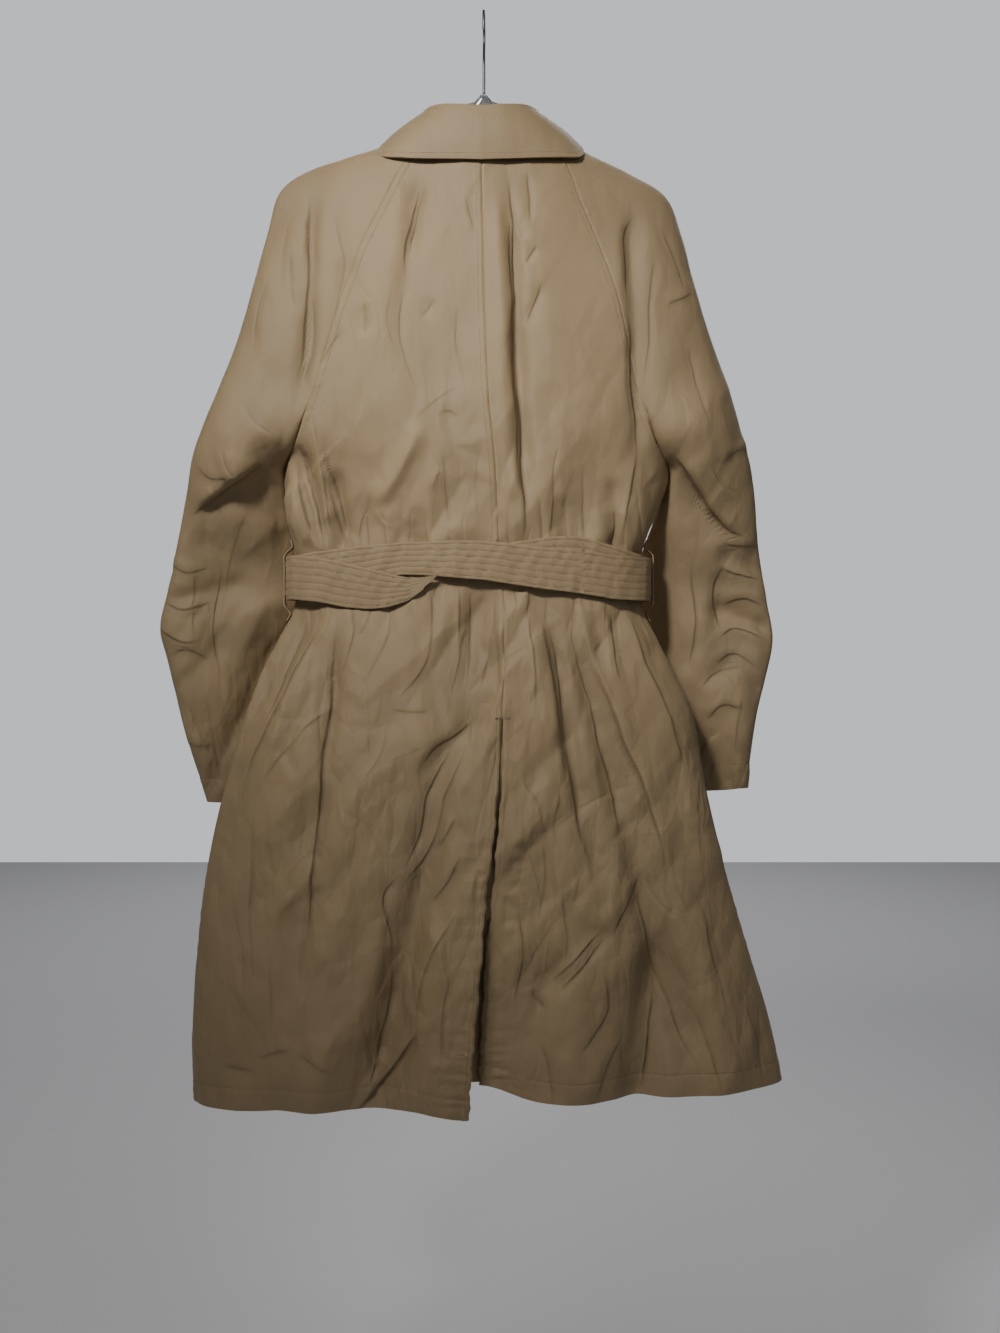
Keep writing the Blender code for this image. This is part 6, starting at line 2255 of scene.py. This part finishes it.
@dataclass
class Belt:
    """The long strip that goes round the waist twice over the back, with its rows of stitching."""

    curve: WaistCurve
    thick: float = 2.0
    off_cloth: float = 0.6
    pitch: float = 4.5
    half: float = 23.5
    front_level: float = -616
    tucked: float = 120
    step: float = 3.2
    columns: int = 45
    rows: tuple[float, ...] = (-0.84, -0.5, -0.17, 0.17, 0.5, 0.84)
    seed: int = 21
    groove: float = 0.34
    crumple: float = 0.2
    row_limit: float = 11.0
    row_sunk: float = 0.12

    def route(self) -> np.ndarray:
        """Distance, level, half width and layer along the belt, from one end to the other."""
        curve, lap = self.curve, self.curve.length
        start, end = curve.of_x(BELT_FIRST_PASS[0][0]), curve.of_x(BELT_SECOND_PASS[-1][0])
        rows = [(start - self.tucked, self.front_level, self.half, 0)]
        rows += [(curve.of_x(x), z, half, layer) for x, z, half, layer in BELT_FIRST_PASS]
        rows += [(curve.left + (lap - curve.left) * part, self.front_level, self.half, 1)
                 for part in (0.15, 0.5, 0.85)]
        rows += [(lap + curve.of_x(x), z, half, layer) for x, z, half, layer in BELT_SECOND_PASS]
        rows.append((lap + end + self.tucked, self.front_level, self.half, 0))
        return np.array(rows)

    def build(self, finishes: Finishes, run: StitchRun) -> None:
        """Makes the belt and its rows of stitching.

        Args:
            finishes: the finishes.
            run: the stitches that the belt's rows join.
        """
        route = self.route()
        count = int((route[-1, 0] - route[0, 0]) / self.step)
        distance = np.linspace(route[0, 0], route[-1, 0], count + 1)
        distance = np.sort(np.concatenate([distance, route[1:-1, 0]]))
        level, half, layer = (np.interp(distance, route[:, 0], route[:, k]) for k in (1, 2, 3))
        level, half = (np.convolve(np.pad(values, 2, "edge"), np.ones(5) / 5, "valid")
                       for values in (level, half))
        across = np.linspace(1, -1, self.columns)
        share = np.broadcast_to(across[:, None], (self.columns, len(distance)))
        lift = self.relief(distance[None, :], share) * ease((half - 3) / 11)
        base = self.off_cloth + self.pitch * layer
        walls = []
        for height in (base + self.thick + lift, base + 0 * share):
            place = self.curve.at(np.broadcast_to(distance, share.shape), height)
            walls.append(np.dstack([place, level + share * half]))
        uv = np.stack(np.broadcast_arrays(share * self.half, distance), axis=-1) * MM
        # The strip's relief, four times over, goes to the finish, which paints shade in its grooves
        # and hollows and lightens its raised parts as wear.
        item = cloth_object("belt_cloth", walls[0], walls[1], lift * 4, uv)
        dress(item, "belt_cloth", ["belt"], finishes.belting, finishes.belting)
        wide = np.nonzero(half > self.row_limit)[0]
        for part in self.rows:
            place = self.curve.at(distance, base + self.thick - self.row_sunk)
            line = np.column_stack([place, level + part * half])
            for stretch in np.split(wide, np.nonzero(np.diff(wide) > 1)[0] + 1):
                run.add(line[stretch])

    def relief(self, distance: np.ndarray, share: np.ndarray) -> np.ndarray:
        """Grooves along the stitching, and the slight unevenness of the strip between them.

        Args:
            distance: how far along the belt each point lies.
            share: its place across the belt, from 1 at the top to -1.

        Returns:
            The height of each point.
        """
        sunk = sum(bell(share, part, 0.045) for part in self.rows)
        chance = np.random.default_rng(self.seed)
        crumple = np.zeros(np.broadcast(distance, share).shape)
        for length in (4.2, 5.7, 8.1, 11.3, 17.0, 26.0, 41.0):
            slant = chance.uniform(-0.5, 0.5) * self.half
            phase, slow = chance.uniform(0, 6, 2)
            crumple += math.sqrt(length / 10) * np.sin(
                2 * math.pi * (distance + slant * share + 2 * np.sin(4 * share + slow)) / length
                + phase) * (0.35 + 0.65 * np.sin(distance / (6.3 * length) + slow) ** 2)
        edge = 0.35 * ease((np.abs(share) - 0.93) / 0.07)
        return self.crumple * crumple - self.groove * sunk - edge


@dataclass
class Keepers:
    """A loop over both layers of the belt at each side seam."""

    curve: WaistCurve
    top: float = -574
    bottom: float = -662
    half: float = 6
    thick: float = 1.5
    clear: float = 7.45
    profile: tuple[tuple[float, float, bool], ...] = (
        (1, 1.3, False), (0.82, 1.2, False), (0.62, 0, True), (0.3, 0.2, True), (0, 0.4, True),
        (-0.3, 0.2, True), (-0.62, 0, True), (-0.82, 1.0, False), (-1, 1.0, False))

    def build(self, finishes: Finishes, run: StitchRun) -> None:
        """Makes both keepers.

        Args:
            finishes: the finishes.
            run: the stitches that the keepers' join.
        """
        form = self.curve.form
        middle = (self.top + self.bottom) / 2
        for side, distance in ((Side.LEFT, self.curve.left), (Side.RIGHT, 0.0)):
            belt_x = self.curve.at(np.array([distance]), np.zeros(1))[0, 0]
            drops = np.array([row[0] for row in self.profile])
            seats = []
            for drop, off, on_belt in self.profile:
                level = middle + drop * (self.top - self.bottom) / 2
                seat = belt_x + side.sign * self.clear if on_belt else form.body.at(
                    side.value, form.station_of_level(level))
                seats.append(seat + side.sign * off)
            fine = np.linspace(1, -1, 60)
            where = np.interp(-fine, -drops, np.arange(len(drops)))
            seat = smooth(np.array(seats, float), where)
            level = middle + fine * (self.top - self.bottom) / 2
            across = np.linspace(-self.half, self.half, 11)
            depth = form.body.at("side_y", form.station_of_level(level))[:, None] + across
            walls = []
            for thick in (self.thick, 0):
                x = seat + side.sign * thick
                walls.append(np.dstack(np.broadcast_arrays(x[:, None], depth, level[:, None])))
            walls[0][..., 0] -= side.sign * 0.3 * ease((np.abs(across) - 4.6) / 1.4)
            item = cloth_object(f"belt_keeper_{side.value}_cloth", walls[0], walls[1])
            dress(item, "belt_cloth", [f"belt_keeper_{side.value}"], finishes.belting,
                  finishes.belting)
            for column in (2, 8):
                run.add(walls[0][2:-2, column] + (side.sign * THREAD_LIFT, 0, 0))


def ring_faces(rings: np.ndarray, start: int = 0) -> np.ndarray:
    """The faces of a tube through rings of points, numbered from a start."""
    rows, count = rings.shape[:2]
    index = start + np.arange(rows * count).reshape(rows, count)
    return grid_quads(np.column_stack([index, index[:, 0]]))


def rings_object(name: str, rings: np.ndarray, angle: float = 60) -> bpy.types.Object:
    """A closed solid through rings of points, capped at both ends.

    Args:
        name: the object's name.
        rings: the points, ring by ring.
        angle: the angle in degrees from which an edge is sharp.

    Returns:
        The object.
    """
    rows, count = rings.shape[:2]
    faces = ring_faces(rings).tolist()
    faces.append(list(range(count))[::-1])
    faces.append(list(range((rows - 1) * count, rows * count)))
    item = mesh_object(name, rings.reshape(-1, 3), faces, angle)
    work = bmesh.new()
    work.from_mesh(item.data)
    bmesh.ops.recalc_face_normals(work, faces=work.faces)
    work.to_mesh(item.data)
    work.free()
    return item


@dataclass(frozen=True)
class Seat:
    """Where a button sits on the cloth, and the ways out, across and up from there."""

    middle: np.ndarray
    out: np.ndarray
    across: np.ndarray
    up: np.ndarray

    def disc(self, radius: float, height: float, sides: int) -> np.ndarray:
        """A ring of points round the seat's middle, at a height over it."""
        turn = np.linspace(0, 2 * math.pi, sides, endpoint=False)
        return self.middle + height * self.out + radius * (
            np.outer(np.cos(turn), self.across) + np.outer(np.sin(turn), self.up))

    def way(self, turn: float) -> np.ndarray:
        """The way along the cloth that is turned off across by degrees."""
        return (math.cos(math.radians(turn)) * self.across
                + math.sin(math.radians(turn)) * self.up)


@dataclass
class Buttons:
    """Round buttons down the left front, each with its crossed threads and its buttonhole."""

    coat: Coat
    levels: tuple[float, ...] = (-232, -345, -458, -700, -815)
    lift: float = 0.6
    sides: int = 48
    profile: tuple[tuple[float, float], ...] = (
        (9.8, 0.0), (10.6, 0.35), (11.0, 1.2), (11.0, 2.0), (10.7, 2.9), (10.1, 3.35), (9.2, 3.4),
        (8.2, 3.15), (7.4, 2.85), (6.4, 2.7), (0.6, 2.65))
    thread_reach: float = 2.3
    thread_gap: float = 0.35
    thread_radius: float = 0.36
    thread_foot: float = 2.62
    thread_rise: float = 0.75
    buttonhole: tuple[float, float] = (13.2, 1.6)

    def build(self, finishes: Finishes, run: StitchRun) -> None:
        """Makes every button with its thread and the stitches of its buttonhole.

        Args:
            finishes: the finishes.
            run: the stitches that the buttonholes' join.
        """
        panel = self.coat.panels["front_left"]
        long, high = self.buttonhole
        for number, level in enumerate(self.levels, start=1):
            seat = self.place(panel, level)
            rings = np.array([seat.disc(radius, height, self.sides)
                              for radius, height in self.profile])
            item = rings_object(f"button_{number}_horn", rings, 40)
            dress(item, "button_horn", [f"button_{number}"], finishes.horn)
            item = self.sew(f"button_{number}_thread", seat)
            dress(item, "button_horn", (), finishes.thread)
            corners = [seat.middle - self.lift * seat.out + a * long * seat.across
                       + b * high * seat.up
                       for a, b in ((-1.02, 1), (1.25, 1), (1.25, -1), (-1.02, -1), (-1.02, 1))]
            run.add(self.on_cloth(panel, np.array(corners)))

    def place(self, panel: Panel, level: float) -> Seat:
        """Where a button sits on a panel, at a level.

        Args:
            panel: the panel.
            level: the button's Z.

        Returns:
            The seat.
        """
        form = self.coat.form
        centre = form.body.at("centre", form.station_of_level(level))
        away = np.hypot(panel.grid[..., 0] - centre, panel.grid[..., 2] - level)
        row, column = np.unravel_index(np.argmin(away), away.shape)
        out = unit(panel.normals[row - 4:row + 5, column - 3:column + 4].mean(axis=(0, 1)))
        across = unit(np.cross(out, (0, 0, 1)))
        middle = np.array([centre, panel.grid[row, column, 1], level]) + (self.lift + 0.25) * out
        return Seat(middle, out, across, np.cross(across, out))

    def sew(self, name: str, seat: Seat) -> bpy.types.Object:
        """Makes the crossed threads on a button.

        Args:
            name: the object's name.
            seat: where the button sits.

        Returns:
            The threads.
        """
        points, faces = [], []
        for turn in (45, 135):
            way = seat.way(turn)
            for shift in (-self.thread_gap, self.thread_gap):
                beside = np.cross(seat.out, way) * shift
                line = np.array([
                    seat.middle + beside + way * s * self.thread_reach
                    + seat.out * (self.thread_foot + self.thread_rise * (1 - s * s))
                    for s in np.linspace(-1.15, 1.15, 9)])
                rings = tube_rings(line, self.thread_radius, 8)
                faces.append(ring_faces(rings, sum(len(part) for part in points)))
                points.append(rings.reshape(-1, 3))
        return mesh_object(name, np.concatenate(points), np.concatenate(faces))

    def on_cloth(self, panel: Panel, points: np.ndarray) -> np.ndarray:
        """A line through points, laid onto a panel's outer face.

        Args:
            panel: the panel.
            points: the line's corners.

        Returns:
            The line's points, close together, a hair above the cloth.
        """
        found = []
        flat = panel.grid.reshape(-1, 3)
        for start, end in zip(points[:-1], points[1:]):
            for part in np.linspace(0, 1, 8)[:-1]:
                point = start + (end - start) * part
                away = np.hypot(flat[:, 0] - point[0], flat[:, 2] - point[2])
                near = np.argsort(away)[:6]
                weight = 1 / (away[near] + 0.3)
                depth = np.sum(flat[near, 1] * weight) / weight.sum()
                found.append((point[0], depth + 0.12, point[2]))
        return np.array(found)


def tube_rings(line: np.ndarray, radius: float, sides: int) -> np.ndarray:
    """Rings of points round a line.

    Args:
        line: the line's points.
        radius: the rings' radius.
        sides: how many points each has.

    Returns:
        The rings.
    """
    tangent = unit(np.gradient(line, axis=0))
    side = np.zeros(3)
    side[np.argmin(np.abs(tangent).mean(axis=0))] = 1
    first = unit(np.cross(tangent, side))
    second = np.cross(tangent, first)
    turn = np.linspace(0, 2 * math.pi, sides, endpoint=False)
    return np.array([middle + radius * (np.outer(np.cos(turn), a) + np.outer(np.sin(turn), b))
                     for middle, a, b in zip(line, first, second)])


@dataclass
class Hanger:
    """The clear plastic hanger with its steel wire hook."""

    form: CoatForm
    wire: float = 1.6
    hook_radius: float = 21.6
    foot: float = -86.1
    neck: float = -56
    clear: float = 1.85
    reach: dict[Side, float] = field(default_factory=lambda: {Side.LEFT: 2.45, Side.RIGHT: 2.8})
    bends: tuple[tuple[float, float], ...] = (
        (0, -86.5), (3, -87.5), (8, -93.5), (14, -97), (22, -98), (34, -102.5), (43, -114),
        (52, -130))
    profile: tuple[tuple[float, float], ...] = (
        (0, 0), (1.2, 0.7), (2, 1.8), (3.6, 4), (4.4, 6), (4.6, 7.5), (4.6, 12), (4.6, 16),
        (4.2, 18), (3.4, 19))

    def top(self, side: Side) -> np.ndarray:
        """The top line of one arm, from the middle out to its tip.

        Args:
            side: the arm's side.

        Returns:
            The line's X and Z.
        """
        outer = self.form.outer[side]
        rows = np.arange(0, self.reach[side] + 1, 0.5)
        stations = np.append(np.arange(0.25, self.reach[side], 0.25), self.reach[side])
        seam = points_at(stations, rows, np.stack([outer.at(name, rows) for name in "xz"], axis=1))
        slope = np.gradient(seam, axis=0)
        down = np.stack([slope[:, 1], -slope[:, 0]], axis=1)
        down = unit(down * np.where(down[:, 1] > 0, -1, 1)[:, None])
        start = np.array([(side.sign * x, z) for x, z in self.bends], float)
        return np.concatenate([start, seam + self.clear * down])

    def build(self, finishes: Finishes) -> None:
        """Makes the hanger's body and hook.

        Args:
            finishes: the finishes.
        """
        coarse = np.concatenate([self.top(Side.LEFT)[:0:-1], self.top(Side.RIGHT)])
        line = curve_through(coarse, 5)
        slope = np.gradient(line, axis=0)
        down = np.stack([slope[:, 1], -slope[:, 0]], axis=1)
        down[:, 0] *= ease((np.abs(line[:, 0]) - 15) / 30)
        down = unit(down)
        station = np.linspace(0, len(coarse) - 1, len(line))
        tip = np.minimum(station, station[::-1])
        size = 0.45 + 0.55 * np.clip(tip / 1.6, 0, 1) ** 0.6
        profile = np.array(self.profile + tuple((-y, drop) for y, drop in self.profile[:0:-1]))
        rings = np.array([np.column_stack([
            x + way[0] * profile[:, 1] * scale, profile[:, 0] * min(1.0, scale + 0.2),
            z + way[1] * profile[:, 1] * scale]) for (x, z), way, scale in zip(line, down, size)])
        item = rings_object("hanger_body_plastic", rings, 50)
        dress(item, "clear_plastic", ["hanger_body"], finishes.plastic)
        item = rings_object("hanger_hook_wire", tube_rings(self.hook_line(), self.wire, 20))
        dress(item, "steel_wire", ["hanger_hook"], finishes.steel)

    def hook_line(self) -> np.ndarray:
        """Up from the hanger, out to one side, over the top and down to the open end."""
        middle = self.wire - self.hook_radius
        path = [(0, 0, z) for z in np.linspace(self.foot, self.neck, 8)]
        for part in np.linspace(0.05, 1, 20):
            path.append((0, self.hook_radius * ease(part),
                         self.neck + (middle - self.neck) * part))
        for turn in np.radians(np.linspace(4, 196, 60)):
            path.append((0, self.hook_radius * math.cos(turn),
                         middle + self.hook_radius * math.sin(turn)))
        return np.array(path)


@dataclass(frozen=True)
class Lamp:
    """A soft square light that faces a target: places and size in metres, power in watts."""

    name: str
    place: tuple[float, float, float]
    target: tuple[float, float, float]
    size: float
    power: float
    colour: Colour
    spread: float = 180

    def hang(self) -> None:
        """Puts the light in the scene."""
        lamp = bpy.data.lights.new(self.name, "AREA")
        lamp.size = self.size
        lamp.energy = self.power
        lamp.color = self.colour
        lamp.spread = math.radians(self.spread)
        item = shown(self.name, lamp)
        item.location = self.place
        way = Vector(self.target) - Vector(self.place)
        item.rotation_euler = way.to_track_quat("-Z", "Y").to_euler()


COAT_MIDDLE = (0.0, 0.0, -0.65)
LAMPS = (
    Lamp("key", (-0.60, -1.35, 0.58), (0.02, 0.0, -0.42), 0.22, 1.7, (1.0, 0.985, 0.96), 42),
    Lamp("side", (-1.2, -1.6, 0.9), COAT_MIDDLE, 0.5, 11, (1.0, 0.985, 0.97)),
    Lamp("fill", (1.3, -2.2, 0.5), COAT_MIDDLE, 1.6, 5, (0.95, 0.97, 1.0)),
    Lamp("behind", (0.7, 1.4, 0.5), COAT_MIDDLE, 1.2, 15, (1.0, 0.99, 0.97)),
    Lamp("floor_wash", (0.0, 4.4, 2.9), (0.0, 4.4, -1.7), 2.4, 110, (1.0, 1.0, 1.0)),
)


@dataclass
class Studio:
    """A plain floor, soft light and the camera."""

    floor_level: float = -1.72
    floor_half: float = 6.0
    camera: tuple[float, float, float] = (0.01745, -1.610, -0.7116)
    view_height: float = 1.3996
    view_distance: float = 1.55
    sensor: float = 24.0
    air: tuple[float, float, float, float] = (0.86, 0.88, 0.92, 1)
    ambient: float = 0.08
    backdrop: float = 0.8

    def build(self, finishes: Finishes) -> None:
        """Makes the floor, the lights, the air around them and the camera.

        Args:
            finishes: the finishes.
        """
        corners = [(x * self.floor_half, y * self.floor_half, self.floor_level)
                   for x, y in ((-1, -1), (1, -1), (1, 1), (-1, 1))]
        floor = mesh_object("floor", np.array(corners) / MM, [[0, 1, 2, 3]])
        floor.data.materials.append(finishes.floor)
        for lamp in LAMPS:
            lamp.hang()
        self.fill_air()
        lens = bpy.data.cameras.new("camera")
        lens.sensor_fit = "VERTICAL"
        lens.sensor_height = self.sensor
        lens.lens = self.sensor * self.view_distance / self.view_height
        lens.clip_start = 0.05
        view = shown("camera", lens)
        view.location = self.camera
        view.rotation_euler = (math.pi / 2, 0, 0)
        bpy.context.scene.camera = view

    def fill_air(self) -> None:
        """Makes the air: pale where it is seen, and dim as a light."""
        world = bpy.data.worlds.new("studio")
        world.use_nodes = True
        nodes, link = world.node_tree.nodes, world.node_tree.links.new
        ground = nodes["Background"]
        ground.inputs["Color"].default_value = self.air
        seen = nodes.new("ShaderNodeLightPath")
        strength = nodes.new("ShaderNodeMapRange")
        strength.inputs["To Min"].default_value = self.ambient
        strength.inputs["To Max"].default_value = self.backdrop
        link(seen.outputs["Is Camera Ray"], strength.inputs["Value"])
        link(strength.outputs[0], ground.inputs["Strength"])
        bpy.context.scene.world = world


def main() -> None:
    """Builds every piece and the stage around it."""
    logging.basicConfig(level=logging.INFO, format="%(message)s")
    finishes = Finishes()
    form = CoatForm()
    coat = Coat(form, CreaseBook())
    coat.build(finishes)
    seams = StitchRun("seam_stitching")
    fittings = StitchRun("fitting_stitching", width=0.55, seed=9)
    rows = StitchRun("belt_stitching", pitch=3.6, length=2.7, width=0.5, seed=11)
    coat.stitch(seams)
    Vent(coat).build(finishes, fittings)
    Collar(coat).build(finishes, fittings)
    curve = WaistCurve(form)
    Belt(curve).build(finishes, rows)
    Keepers(curve).build(finishes, fittings)
    Buttons(coat).build(finishes, fittings)
    Hanger(form).build(finishes)
    for run, slot in ((seams, "coat_cloth"), (fittings, "coat_cloth"), (rows, "belt_cloth")):
        dress(run.build(finishes.thread), slot, ())
    Studio().build(finishes)
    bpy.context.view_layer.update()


if __name__ == "__main__":
    main()
